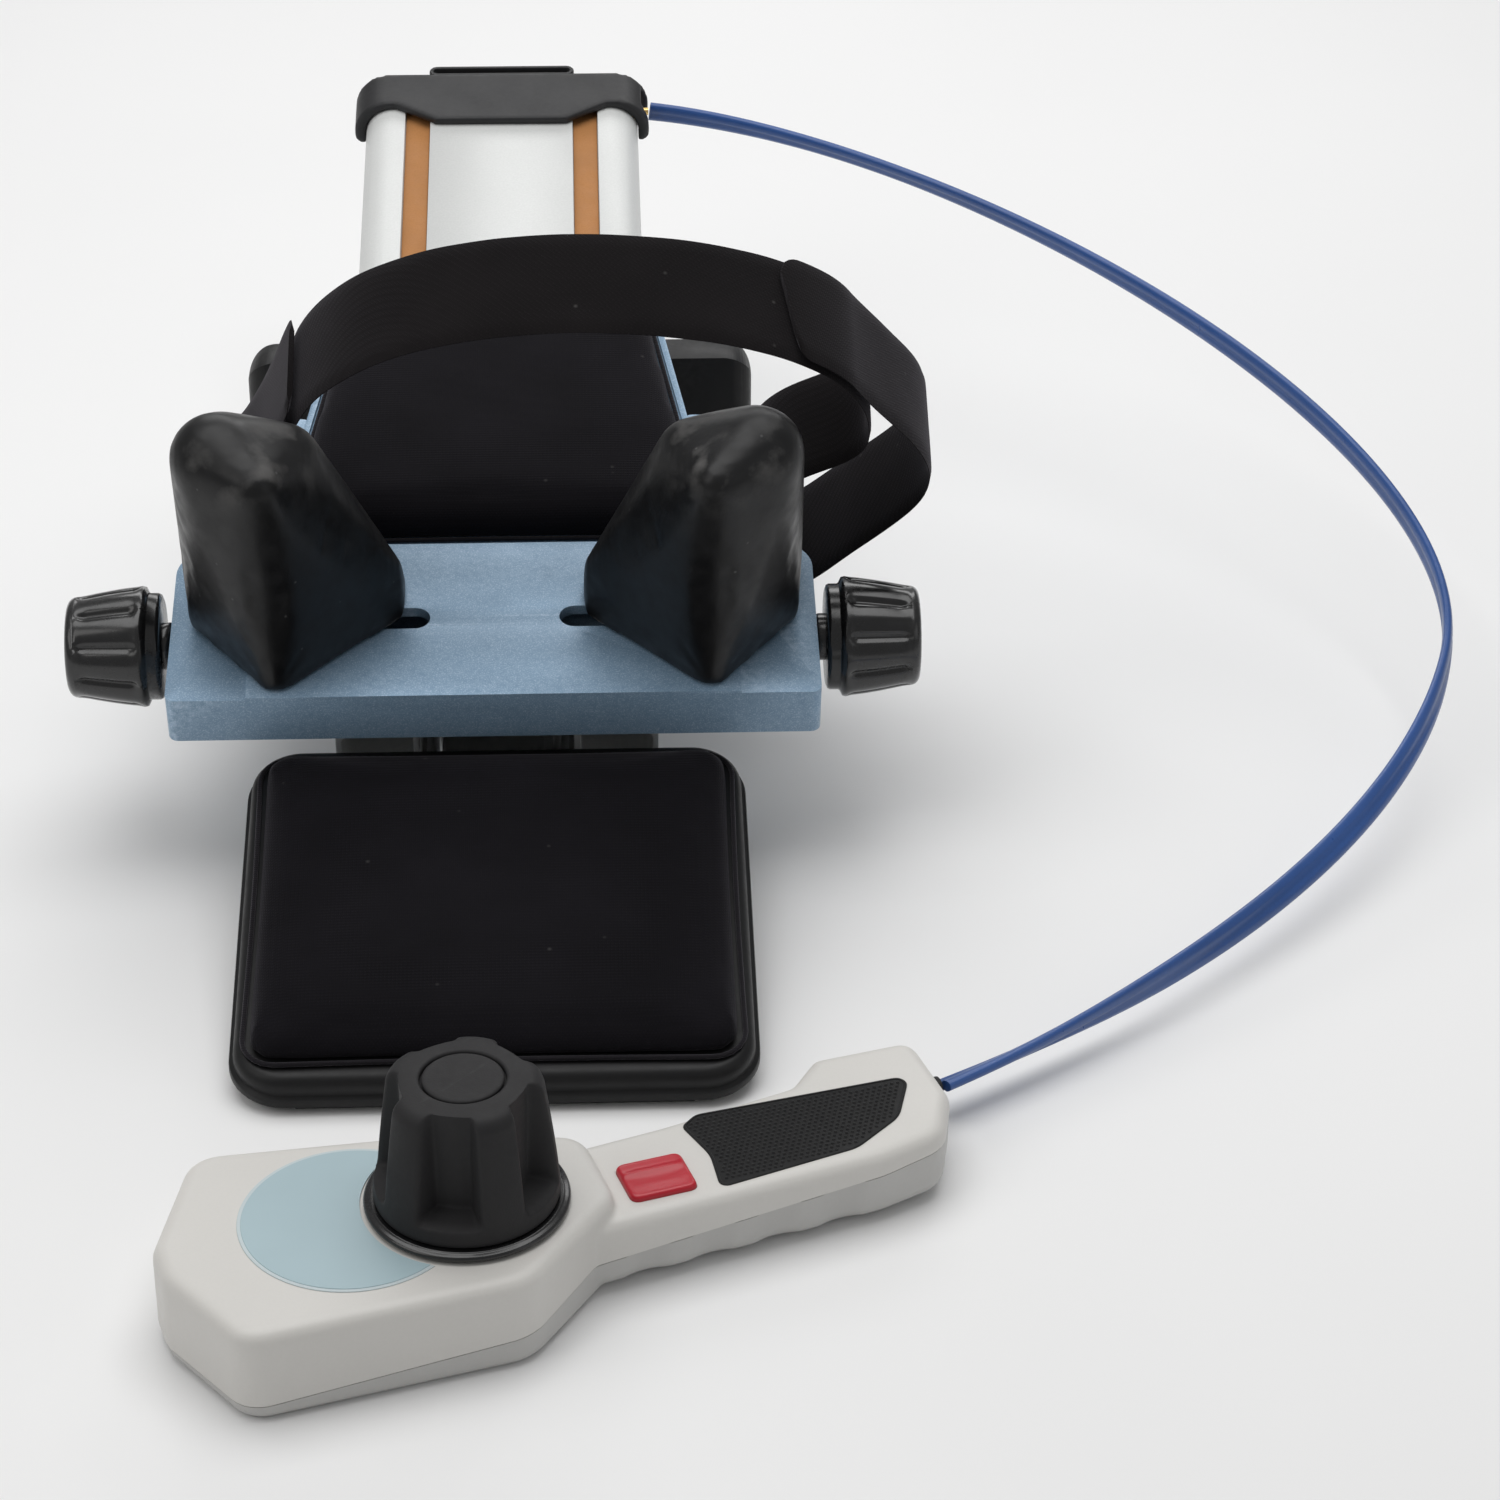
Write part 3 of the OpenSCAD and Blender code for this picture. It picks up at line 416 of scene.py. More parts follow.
class Look:
    """A procedural material that is put together from layers."""

    def __init__(self, name, colour, roughness, metallic=0.0, specular=0.5):
        self.name = name
        self.material = bpy.data.materials.new(name)
        self.material.use_nodes = True
        self.tree = self.material.node_tree
        self.shader = self.tree.nodes["Principled BSDF"]
        self.shader.inputs["Metallic"].default_value = metallic
        self.shader.inputs["Specular IOR Level"].default_value = specular
        self.coordinates = self.node("ShaderNodeTexCoord").outputs["Object"]
        self.colour = self.node("ShaderNodeRGB").outputs[0]
        self.colour.default_value = (*colour, 1)
        self.roughness = self.node("ShaderNodeValue").outputs[0]
        self.roughness.default_value = roughness
        self.height = None

    def node(self, kind, **settings):
        return assign(self.tree.nodes.new(kind), settings)

    def link(self, source, node, socket):
        self.tree.links.new(source, node.inputs[socket])
        return node

    def noise(self, size, detail=2.0, stretch=(1, 1, 1), turn=0.0):
        """Noise of a given feature size in millimetres."""
        mapping = self.link(self.coordinates, self.node("ShaderNodeMapping"), "Vector")
        mapping.inputs["Scale"].default_value = [s / (size * MM) for s in stretch]
        mapping.inputs["Rotation"].default_value = (0, 0, turn)
        made = self.link(mapping.outputs[0], self.node("ShaderNodeTexNoise"), "Vector")
        made.inputs["Scale"].default_value = 1.0
        made.inputs["Detail"].default_value = detail
        return made.outputs["Fac"]

    def math(self, operation, a, b=None):
        made = self.node("ShaderNodeMath", operation=operation)
        for socket, value in ((0, a), (1, b)):
            if value is None:
                continue
            if isinstance(value, (int, float)):
                made.inputs[socket].default_value = value
            else:
                self.link(value, made, socket)
        return made.outputs[0]

    def span(self, value, low, high, out_low=0.0, out_high=1.0):
        made = self.link(value, self.node("ShaderNodeMapRange"), "Value")
        numbers = {"From Min": low, "From Max": high, "To Min": out_low, "To Max": out_high}
        for socket, number in numbers.items():
            made.inputs[socket].default_value = number
        return made.outputs[0]

    def tint(self, mask, colour, strength=1.0):
        """Mixes another colour in where mask is high."""
        mix = self.node("ShaderNodeMix", data_type="RGBA")
        self.link(self.math("MULTIPLY", mask, strength), mix, 0)
        self.link(self.colour, mix, 6)
        mix.inputs[7].default_value = (*colour, 1)
        self.colour = mix.outputs[2]

    def vary(self, size, amount, detail=3.0):
        """Lightens and darkens the colour by amount over patches of a given size."""
        level = self.span(self.noise(size, detail), 0.3, 0.7, 1 - amount, 1 + amount)
        scale = self.node("ShaderNodeVectorMath", operation="SCALE")
        self.link(self.colour, scale, 0)
        self.link(level, scale, "Scale")
        self.colour = scale.outputs[0]

    def rough(self, size, amount):
        change = self.span(self.noise(size), 0.3, 0.7, -amount, amount)
        self.roughness = self.math("ADD", self.roughness, change)

    def bump(self, field, depth):
        """Adds relief of a given depth in millimetres."""
        scaled = self.math("MULTIPLY", field, depth * MM)
        self.height = scaled if self.height is None else self.math("ADD", self.height, scaled)

    def edges(self, colour, strength):
        """Puts another colour onto the outward edges, broken by noise: wear on the moulded parts, a painted
        highlight on the blue carriage.
        """
        point = self.node("ShaderNodeNewGeometry").outputs["Pointiness"]
        broken = self.math("MULTIPLY", self.span(point, 0.52, 0.6), self.span(self.noise(3.0), 0.35, 0.65))
        self.tint(broken, colour, strength)

    def specks(self, size, share, colour, strength):
        """Sparse small flecks, as dust or lint."""
        made = self.node("ShaderNodeTexVoronoi", feature="F1")
        self.link(self.coordinates, made, "Vector")
        made.inputs["Scale"].default_value = 1 / (size * MM)
        near = self.span(made.outputs["Distance"], 0.0, 0.16, 1.0, 0.0)
        channel = self.link(made.outputs["Color"], self.node("ShaderNodeSeparateColor"), "Color")
        chosen = self.math("GREATER_THAN", channel.outputs[0], 1 - share)
        self.tint(self.math("MULTIPLY", near, chosen), colour, strength)

    def weave(self, pitch, depth, turn=0.0, tilt=0.0):
        """Over-and-under relief of crossed threads."""
        mapping = self.link(self.coordinates, self.node("ShaderNodeMapping", vector_type="POINT"), "Vector")
        mapping.inputs["Rotation"].default_value = (-tilt, 0, turn)
        axes = self.link(mapping.outputs[0], self.node("ShaderNodeSeparateXYZ"), "Vector")
        phases = [self.math("MULTIPLY", axes.outputs[k], math.pi / (pitch * MM)) for k in range(3)]
        waves = [self.math("SINE", t) for t in phases]
        flat = self.math("MULTIPLY", waves[0], self.math("ADD", waves[1], waves[2]))
        self.bump(self.math("ABSOLUTE", flat), depth)
        return flat

    def done(self):
        """Joins the layers to the shader and files the material in LOOKS."""
        self.link(self.colour, self.shader, "Base Color")
        roughness = self.math("MINIMUM", self.math("MAXIMUM", self.roughness, 0.05), 1.0)
        self.link(roughness, self.shader, "Roughness")
        if self.height is not None:
            bump = self.link(self.height, self.node("ShaderNodeBump"), "Height")
            bump.inputs["Distance"].default_value = 1.0
            self.link(bump.outputs[0], self.shader, "Normal")
        LOOKS[self.name] = self.material


def moulded(name, colour, roughness, grain=0.02, worn=None, coat=0.0, mottle=0.03, specular=0.5):
    """Moulded plastic or rubber with a spark-eroded grain; worn is the colour of its scuffed edges."""
    look = Look(name, colour, roughness, specular=specular)
    look.vary(60, mottle)
    look.vary(1.2, mottle / 2, detail=1)
    look.rough(18, 0.05)
    look.rough(2.5, 0.03)
    look.bump(look.noise(0.7, 2), grain)
    look.bump(look.noise(25, 1), grain * 3)
    look.shader.inputs["Coat Weight"].default_value = coat
    look.shader.inputs["Coat Roughness"].default_value = 0.12
    if worn:
        look.edges(worn, 0.35)
    look.done()


def metal(name, colour, roughness, brushed=(1, 1, 1)):
    """Bare metal with fine machining marks."""
    look = Look(name, colour, roughness, metallic=1.0)
    look.vary(14, 0.06)
    look.bump(look.noise(0.5, 3, brushed), 0.01)
    look.rough(5, 0.08)
    look.done()


def cloth(name, colour, pitch, depth, sheen, lint, turn=0.0):
    """Knitted or woven fabric: threads, fuzz, faded patches and a little lint."""
    axis = JOINTS["carriage_slide"]["axis"]
    look = Look(name, colour, 0.92, specular=0.08)
    flat = look.weave(pitch, depth, turn, math.atan2(axis[2], axis[1]))
    look.bump(look.noise(0.35, 3), depth * 0.8)
    look.bump(look.noise(22, 2), depth * 5)
    look.vary(45, 0.22)
    look.tint(look.span(flat, 0.2, 1.6), tuple(c * 1.8 for c in colour), 0.5)
    look.specks(7, 0.05, (0.3, 0.29, 0.28), lint)
    look.shader.inputs["Sheen Weight"].default_value = sheen
    look.shader.inputs["Sheen Roughness"].default_value = 0.45
    look.shader.inputs["Sheen Tint"].default_value = (0.75, 0.72, 0.8, 1)
    look.done()


def powder_coat(name, colour):
    look = Look(name, colour, 0.42)
    look.vary(120, 0.02)
    look.vary(0.9, 0.03, detail=1)
    look.bump(look.noise(0.6, 2), 0.015)
    look.bump(look.noise(2.2, 1), 0.01)
    look.rough(30, 0.05)
    look.done()


def satin_blue(name, colour):
    """Steel-blue plastic with a fine metallic fleck and a pale blue painted highlight on its outward edges."""
    look = Look(name, colour, 0.38, metallic=0.25)
    look.vary(70, 0.05)
    fleck = look.span(look.noise(0.55, 1), 0.5, 0.72)
    look.tint(fleck, (0.62, 0.74, 0.86), 0.35)
    look.bump(look.noise(0.6, 2), 0.02)
    look.bump(look.noise(1.6, 1), 0.012)
    look.rough(12, 0.06)
    # Painted highlight: pale blue on the outward edges, standing in for light caught by the rounded edges.
    look.edges((0.6, 0.74, 0.88), 0.4)
    look.done()


def skinned_foam(name, colour):
    """Smooth black foam skin with a pale painted highlight along its crown, broken into worn-looking patches."""
    look = Look(name, colour, 0.4, specular=0.3)
    # Painted highlight: a pale, rougher band near the top of the wedge, chosen by height and broken into patches
    # by noise.
    crown_highlight_patches = look.span(look.noise(16, 4), 0.5, 0.68)
    crown = look.node("ShaderNodeSeparateXYZ")
    look.link(look.coordinates, crown, "Vector")
    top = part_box("wedge_pad_right")[1].z
    high = look.span(crown.outputs[2], top - 0.034, top - 0.006)
    low = look.span(crown.outputs[2], top - 0.012, top - 0.001, 1.0, 0.15)
    band = look.math("MULTIPLY", look.math("MULTIPLY", high, low), crown_highlight_patches)
    look.tint(band, (0.12, 0.117, 0.114), 0.8)
    look.roughness = look.math("ADD", look.roughness, look.math("MULTIPLY", band, 0.25))
    look.vary(30, 0.25)
    look.specks(5, 0.06, (0.3, 0.3, 0.3), 0.3)
    look.bump(look.noise(0.9, 3), 0.02)
    look.bump(look.noise(9, 2), 0.12)
    look.rough(8, 0.08)
    look.done()


def glide_tape(name, colour):
    look = Look(name, colour, 0.7, specular=0.3)
    look.vary(25, 0.08)
    look.tint(look.span(look.noise(0.8, 2), 0.45, 0.75), (0.32, 0.14, 0.04), 0.35)
    look.bump(look.noise(0.7, 3), 0.03)
    look.rough(6, 0.06)
    look.done()


def pressed_label(name, colour):
    look = Look(name, colour, 0.4)
    look.vary(40, 0.02)
    look.bump(look.noise(0.5, 2), 0.006)
    look.rough(10, 0.04)
    look.done()


WORN_GREY = (0.03, 0.03, 0.03)
powder_coat("track_paint", (0.66, 0.67, 0.66))
glide_tape("glide_tan", (0.42, 0.19, 0.065))
moulded("cap_black", (0.021, 0.021, 0.0225), 0.48, 0.03, (0.05, 0.05, 0.053), specular=0.3)
moulded("plate_black", (0.0085, 0.0085, 0.009), 0.45, 0.025, WORN_GREY, specular=0.25)
moulded("gloss_black", (0.005, 0.005, 0.0055), 0.25, 0.012, WORN_GREY, coat=0.3)
satin_blue("carriage_blue", (0.19, 0.30, 0.42))
cloth("cushion_fabric", (0.0055, 0.005, 0.0065), 0.75, 0.05, 0.1, 0.12)
cloth("strap_fabric", (0.0062, 0.0052, 0.0054), 0.8, 0.04, 0.16, 0.15, turn=0.78)
skinned_foam("wedge_foam", (0.006, 0.006, 0.0066))
moulded("knob_rubber", (0.022, 0.0215, 0.0225), 0.6, 0.04, (0.045, 0.045, 0.046), specular=0.2)
moulded("handset_light", (0.64, 0.625, 0.595), 0.46, mottle=0.015)
# Painted shade: handset_grey is the upper shell's plastic made darker, standing in for the shade the lower shell
# sits in below the parting line.
moulded("handset_grey", (0.50, 0.495, 0.48), 0.5, mottle=0.015)
pressed_label("label_blue", (0.38, 0.50, 0.54))
moulded("inlay_black", (0.008, 0.008, 0.0085), 0.5, worn=WORN_GREY, specular=0.2)
moulded("button_red", (0.46, 0.004, 0.018), 0.36, 0.015, coat=0.1)
moulded("hose_blue", (0.021, 0.078, 0.27), 0.34, coat=0.2, mottle=0.08)
metal("steel", (0.62, 0.63, 0.64), 0.28)
metal("aluminium", (0.75, 0.76, 0.77), 0.36, (1, 8, 1))
metal("brass", (0.75, 0.52, 0.2), 0.3)
moulded("nylon", (0.72, 0.7, 0.62), 0.5)
moulded("seal_rubber", (0.018, 0.018, 0.018), 0.7, 0.04)
cloth("seam_thread", (0.012, 0.011, 0.013), 0.6, 0.06, 0.2, 0.0)
pressed_label("label_ring", (0.52, 0.59, 0.61))

# ---- shoulder pad


def shoulder_plate():
    """Plate with a lip round its foot and a rounded upper edge."""
    low, high = span("shoulder_plate", TRACK)
    outline = resampled(section("shoulder_plate", TRACK, low.z + 4), 3)
    top = high.z - low.z
    profile = [(2.0, 0), (0.6, 0.4), (0, 1.4), (0, 3.6), (0.3, 4.4), (1.3, 4.9), (1.9, 5.6)]
    profile += quarter(5, top, 6, start_inset=1.9)
    plate = loft("shoulder_plate_shell", outline, [(d, low.z + h) for d, h in profile])
    shade(plate)
    place(plate, TRACK, "frame", "plate_black", "shoulder_plate")


def pulled_in(outline, amount):
    """The outline with its straight sides drawn in between the corners."""
    centre = (outline.min(0) + outline.max(0)) / 2
    half = (outline.max(0) - outline.min(0)) / 2
    u = (outline - centre) / half
    ease = np.column_stack([1 - u[:, 1] ** 2, 1 - u[:, 0] ** 2])
    return outline - np.sign(u) * amount * ease * np.abs(u) ** 6


def cushion(name, node, body, crown):
    """A sewn pad: crowned top, sides that pull in, and a welt seam round its foot."""
    low, high = span(node, TRACK)
    height = high.z - low.z
    outline = resampled(section(node, TRACK, (low.z + high.z) / 2), 4)
    outline = inset(pulled_in(outline, 1.2), 1.6)
    profile = [(1.2, 0), (0, 1.0), (0, height * 0.45)] + quarter(6, height - crown, 5)
    pad = loft(name, outline, [(d, low.z + h) for d, h in profile])
    remeshed(pad, 4.5, 1)
    inflated(pad, 4, 1.6, lambda p: p[2] < low.z + 1.5)
    kept_above(pad, low.z + 0.05)
    modifier(pad, "SMOOTH", factor=0.4, iterations=2)
    bake(pad)
    kept_above(pad, low.z + 0.05)
    subdivided(pad)
    crown_top(pad, outline, low.z + height - crown, crown, high.z + 1.5)
    shade(pad, 60, weighted=False)
    place(pad, TRACK, body, "cushion_fabric", node)
    welt(name + "_welt", resampled(inset(outline, -1.3), 1.2), low.z + 1.4, 0.95, body)


def crown_top(obj, outline, base, crown, limit):
    """Raises the top into a shallow crown, with slight unevenness in the filling."""
    centre = (outline.min(0) + outline.max(0)) / 2 * MM
    half = (outline.max(0) - outline.min(0)) / 2 * MM
    for v in obj.data.vertices:
        if v.co.z < (base - 5) * MM:
            continue
        x, y = (v.co.x - centre[0]) / half[0], (v.co.y - centre[1]) / half[1]
        rise = max(0.0, 1 - abs(x) ** 3) * max(0.0, 1 - abs(y) ** 3)
        uneven = noise.noise(Vector((v.co.x, v.co.y, 0.3)) / (38 * MM))
        v.co.z = min(v.co.z + (crown * rise + 0.25 * uneven) * MM, limit * MM)


def welt(name, outline, height, radius, body):
    """A covered cord along a closed outline, faintly uneven in thickness."""
    n = len(outline)
    rings = []
    for i in range(n):
        tangent = outline[(i + 1) % n] - outline[i - 1]
        tangent = tangent / np.linalg.norm(tangent)
        out = np.array([tangent[1], -tangent[0]])
        swell = radius * (1 + 0.05 * math.sin(i * 2.1))
        ring = []
        for t in turns(8):
            flat = outline[i] + out * swell * math.cos(t)
            ring.append((flat[0], flat[1], height + swell * math.sin(t)))
        rings.append(ring)
    cord = mesh_object(name, *stacked(rings + [rings[0]], closed_ends=False), weld=True)
    shade(cord, 70, weighted=False)
    place(cord, TRACK, body, "cushion_fabric", look="seam_thread")


# ---- wedges and side knobs


def wedge_pad():
    """Moulded foam wedge from the CAD form, with soft edges and slightly full faces."""
    wedge = copy_of(NODES["wedge_pad_right"], "neck_wedge_right")
    wedge.data.transform(TRACK.inverted())
    foot = span("wedge_pad_right", TRACK)[0].z
    remeshed(wedge, 2.2, 3)
    inflated(wedge, 3, 1.4, lambda p: p[2] < foot + 4)
    kept_above(wedge, foot + 0.02)
    subdivided(wedge)
    shade(wedge, 60, weighted=False)
    return wedge


def wedges():
    right = wedge_pad()
    left = copy_of(right, "neck_wedge_left")
    place(right, TRACK, "wedge_right", "wedge_foam", "wedge_pad_right")
    place(left, TRACK @ MIRROR, "wedge_left", "wedge_foam", "wedge_pad_left")


def side_knob():
    """Fluted knob that tapers outwards, with a collar at the tray and a dished end."""
    low, high = span("side_knob_right", TRACK)
    length = high.x - low.x
    large = (high.z - low.z) / 2
    small = large - 4.2
    flutes, segments = 9, 216
    collar_gap, crown_round = 0.4, 3.5
    collar = low.x - span("head_carriage", TRACK)[1].x - collar_gap
    stations = [(-collar, 0.37), (-collar + 0.5, 0.39), (-0.3, 0.39), (0, 0.80), (0.6, 0.86), (1.6, 0.88),
                (5.0, 0.88), (5.6, 0.90), (6.6, 0.985), (8.0, 1.0)]
    rings = [(along, large * share, 0.0) for along, share in stations]
    for i in range(1, 19):
        t = i / 18
        along = 8 + (length - 8 - crown_round) * t
        radius = large + (small - large) * t ** 1.4
        rings.append((along, radius, min(1.0, t * 9) * (1 if t < 0.86 else max(0.0, (1 - t) / 0.14))))
    rings += [(along, small - distance, 0.0) for distance, along in quarter(crown_round, length, 5)]
    rings += [(length, small - 8, 0), (length - 1.0, small - 9.5, 0), (length - 1.2, 2, 0)]
    skins = []
    for along, radius, depth in rings:
        ring = []
        for t in turns(segments):
            phase = (t * flutes / (2 * math.pi)) % 1
            groove = math.exp(-((phase - 0.5) / 0.10) ** 2)
            scoop = 0.5 - 0.5 * math.cos(2 * math.pi * phase)
            r = radius - depth * (1.5 * groove + 0.9 * scoop)
            ring.append((along, r * math.cos(t), r * math.sin(t)))
        skins.append(ring)
    knob = mesh_object("side_knob_grip_right", *stacked(skins))
    centre = (low + high) / 2
    knob.data.transform(Matrix.Translation(Vector((low.x, centre.y, centre.z)) * MM))
    shade(knob, 50)
    return knob


def side_knobs():
    right = side_knob()
    left = copy_of(right, "side_knob_grip_left")
    place(right, TRACK, "wedge_screw", "gloss_black", "side_knob_right")
    place(left, TRACK @ MIRROR, "wedge_screw", "gloss_black", "side_knob_left")


# ---- strap


# Origin of the strap's hoop plane in the track frame, its lean in degrees, and the band's section
STRAP_BASE = (0, 290.4, 46)
STRAP_LEAN = 14
STRAP_W = 49
STRAP_T = 2.2


def strap_plane():
    """Rigid move from the strap's hoop plane (across, up the hoop, through its width) to the track frame."""
    lean = Matrix.Rotation(math.radians(90 + STRAP_LEAN), 4, "X")
    return Matrix.Translation(Vector(STRAP_BASE) * MM) @ lean


def ribbon(name, path, *nodes, width=STRAP_W, end_round=0.0, end_slant=0.0):
    """A band with stitched edges along a path in the hoop's plane, its far end rounded and slanted."""
    path = np.array(path)
    n = len(path)
    cross = []
    half_w, half_t = width / 2, STRAP_T / 2
    lanes = 14
    step = np.linalg.norm(path[1] - path[0])
    for side in (1, -1):
        for k in range(lanes + 1):
            u = side * (2 * k / lanes - 1)
            swell = math.sqrt(max(0.0, 1 - abs(u) ** 14))
            stitch = 1 - 0.22 * math.exp(-((abs(u) - 0.9) / 0.03) ** 2)
            cross.append((u * half_w, side * half_t * max(0.16, swell) * stitch))
    rings = []
    for i in range(n):
        tangent = path[min(i + 1, n - 1)] - path[max(i - 1, 0)]
        tangent = tangent / np.linalg.norm(tangent)
        normal = np.array([-tangent[1], tangent[0]])
        left = (n - 1 - i) * step
        narrow = 1.0
        if left < end_round:
            corner = math.sqrt(max(0.0, 1 - (1 - left / end_round) ** 2))
            narrow = 1 - (1 - corner) * end_round / half_w
        pull = max(0.0, 1 - left / 24) * end_slant
        ring = []
        for w, t in cross:
            ripple = 0.35 * noise.noise(Vector((i * step * 0.05, w * 0.05, 1.7)))
            p = path[i] + normal * (t + ripple * (abs(w) / half_w) ** 2)
            p = p - tangent * pull * (0.5 + w / width)
            ring.append((p[0], p[1], w * narrow))
        rings.append(ring)
    band = mesh_object(name, *stacked(rings))
    shade(band, 55, weighted=False)
    place(band, TRACK @ strap_plane(), "carriage", "strap_fabric", *nodes)


def strap():
    """Forehead strap: a hook-and-loop band over the cushion, through the wings' slots and back up."""
    side = [(-108.5, -18), (-108.5, 2), (-96, 36), (-80, 82)]
    shoulder = [(-80, 82), (-72, 112), (-45, 146), (30, 148.5)]
    crown = [(30, 148.5), (95, 148.5), (151, 125), (151, 80)]
    tuck = [(151, 80), (151, 50), (95, 62), (107, -1)]
    drop = [(107, -1), (108.3, -8), (108.5, -12), (108.5, -18)]
    inner = evenly(bezier_chain([side, shoulder, crown, tuck, drop], 40), 3)
    ribbon("strap_main_band", inner, "head_strap")
    under = [(108.5, -18), (108.5, -44), (127, -27), (147, -1)]
    outer = [(147, -1), (160, 16), (177, 30), (177, 52)]
    loop = [(177, 52), (177, 70), (158, 88), (143.9, 111.6)]
    tab = [(143.9, 111.6), (140, 118.6), (129.6, 128.3), (115.2, 135)]
    back = evenly(bezier_chain([under, outer, loop, tab], 30), 2)
    ribbon("strap_return_band", back, end_round=9, end_slant=6)
    hem = [(-108.5, -18), (-108.5, -42), (-123.5, -38), (-124.5, -18)]
    left = [(-124.5, -18), (-130, 8), (-109, 26), (-101, 42)]
    tail = [(-101, 42), (-92.5, 58), (-86, 80), (-78.5, 101)]
    short = evenly(bezier_chain([hem, left, tail], 30), 2)
    ribbon("strap_left_tail", short, width=STRAP_W - 1, end_round=5)


# ---- end cap and handle


def end_cap():
    """Moulded cap from the CAD form, with softened edges."""
    cap = copy_of(NODES["end_cap"], "end_cap_moulding")
    cap.data.transform(TRACK.inverted())
    remeshed(cap, 1.1, 4)
    shade(cap, 60, weighted=False)
    place(cap, TRACK, "frame", "cap_black", "end_cap")


def carry_handle():
    """Strap handle: a flat loop that stands off the end cap."""
    low, high = span("carry_handle", TRACK)
    outer = resampled(rounded_box(high.x - low.x, high.y - low.y, 3.6, (0, (low.y + high.y) / 2)), 1.5)
    wall, top, bottom = 2.3, high.z, low.z
    profile = [(0.5, bottom), (0, bottom + 0.6), (0, top - 0.6), (0.5, top), (wall - 0.5, top),
               (wall, top - 0.6), (wall, bottom + 0.6), (wall - 0.5, bottom), (0.5, bottom)]
    rings = [[(x, y, height) for x, y in inset(outer, distance)] for distance, height in profile]
    handle = mesh_object("carry_handle_loop", *stacked(rings, closed_ends=False), weld=True)
    shade(handle, 50)
    place(handle, TRACK, "frame", "cap_black", "carry_handle")


# ---- handset

# Half of the gap between the two shells at their parting line
SEAM_GAP = 0.25


def button_centre():
    low, high = span("release_button", HANDSET)
    return (low.x + high.x) / 2, (low.y + high.y) / 2


def handset_levels():
    """Heights of the handset's foot, grip and head."""
    foot = span("handset_lower_shell", HANDSET)[0].z
    return foot, span("grip_inlay", HANDSET)[0].z, span("handset_upper_shell", HANDSET)[1].z


def seam():
    """Height of the parting plane on the dial's axis, and its rise per millimetre along the grip."""
    high = span("handset_lower_shell", HANDSET)[1]
    upper_low = span("handset_upper_shell", HANDSET)[0]
    rise = (high.z - upper_low.z) / (high.x - upper_low.x)
    return upper_low.z - rise * upper_low.x, rise


def upper_shell():
    """Upper half: head and grip with broad rounded edges, hollow, with the button's window."""
    foot, grip_top, head_top = handset_levels()
    level, rise = seam()
    whole = resampled(section("handset_upper_shell", HANDSET, grip_top - 3.5), 1.6)
    head = resampled(section("handset_upper_shell", HANDSET, (grip_top + head_top) / 2), 1.6)
    shell = loft("handset_top_cover", whole, [(0, foot + 6)] + quarter(5.5, grip_top, 8))
    block = loft("head_block", head, [(0, foot + 4)] + quarter(5.0, head_top, 8))
    joined(shell, block)
    remeshed(shell, 1.0, 5)
    sliced(shell, level + SEAM_GAP, rise, keep_above=True)
    cavity = prism("cavity", inset(whole, 3.2), foot + 3, grip_top - 3)
    head_cavity = prism("head_cavity", inset(head, 3.2), foot + 3.5, head_top - 3)
    window = prism("window", rounded_box(25, 21, 3, button_centre()), grip_top - 10, grip_top + 6)
    bore = prism("bore", round_outline((0, 0), 8.2, 64), grip_top - 8, head_top + 6)
    cut(shell, cavity, head_cavity, window, bore)
    shade(shell, 42, weighted=False)
    place(shell, HANDSET, "handset", "handset_light", "handset_upper_shell")


def sliced(obj, level, rise, keep_above):
    """Cuts a mesh along the parting plane, moved to the given height in millimetres, and closes it."""
    bm = bmesh.new()
    bm.from_mesh(obj.data)
    geom = bm.verts[:] + bm.edges[:] + bm.faces[:]
    made = bmesh.ops.bisect_plane(bm, geom=geom, plane_co=(0, 0, level * MM), plane_no=(-rise, 0, 1),
                                  clear_inner=keep_above, clear_outer=not keep_above)
    rim = [e for e in made["geom_cut"] if isinstance(e, bmesh.types.BMEdge)]
    bmesh.ops.contextual_create(bm, geom=rim)
    bm.to_mesh(obj.data)
    bm.free()


def lower_shell():
    """Lower half with the finger grooves, slightly set in from the parting line."""
    foot, grip_top = handset_levels()[:2]
    level, rise = seam()
    whole = resampled(section("handset_lower_shell", HANDSET, foot + 5.3), 1.4)
    head = resampled(section("handset_lower_shell", HANDSET, foot + 0.8), 1.6)
    shell = loft("handset_bottom_cover", inset(whole, 0.25), foot_edge(8, foot + 1.5, 8) + [(0, grip_top)])
    block = loft("head_base", inset(head, 0.25), foot_edge(5, foot, 6) + [(0, grip_top)])
    joined(shell, block)
    remeshed(shell, 1.0, 4)
    kept_above(shell, foot + 0.01)
    sliced(shell, level - SEAM_GAP, rise, keep_above=False)
    cavity = prism("cavity", inset(whole, 4.6), foot + 4.5, grip_top + 4)
    head_cavity = prism("head_cavity", inset(head, 3.4), foot + 3, grip_top + 5)
    cut(shell, cavity, head_cavity)
    shade(shell, 42, weighted=False)
    # The darker grey of this shell is painted shade on the same plastic as the upper shell.
    place(shell, HANDSET, "handset", "handset_grey", "handset_lower_shell")


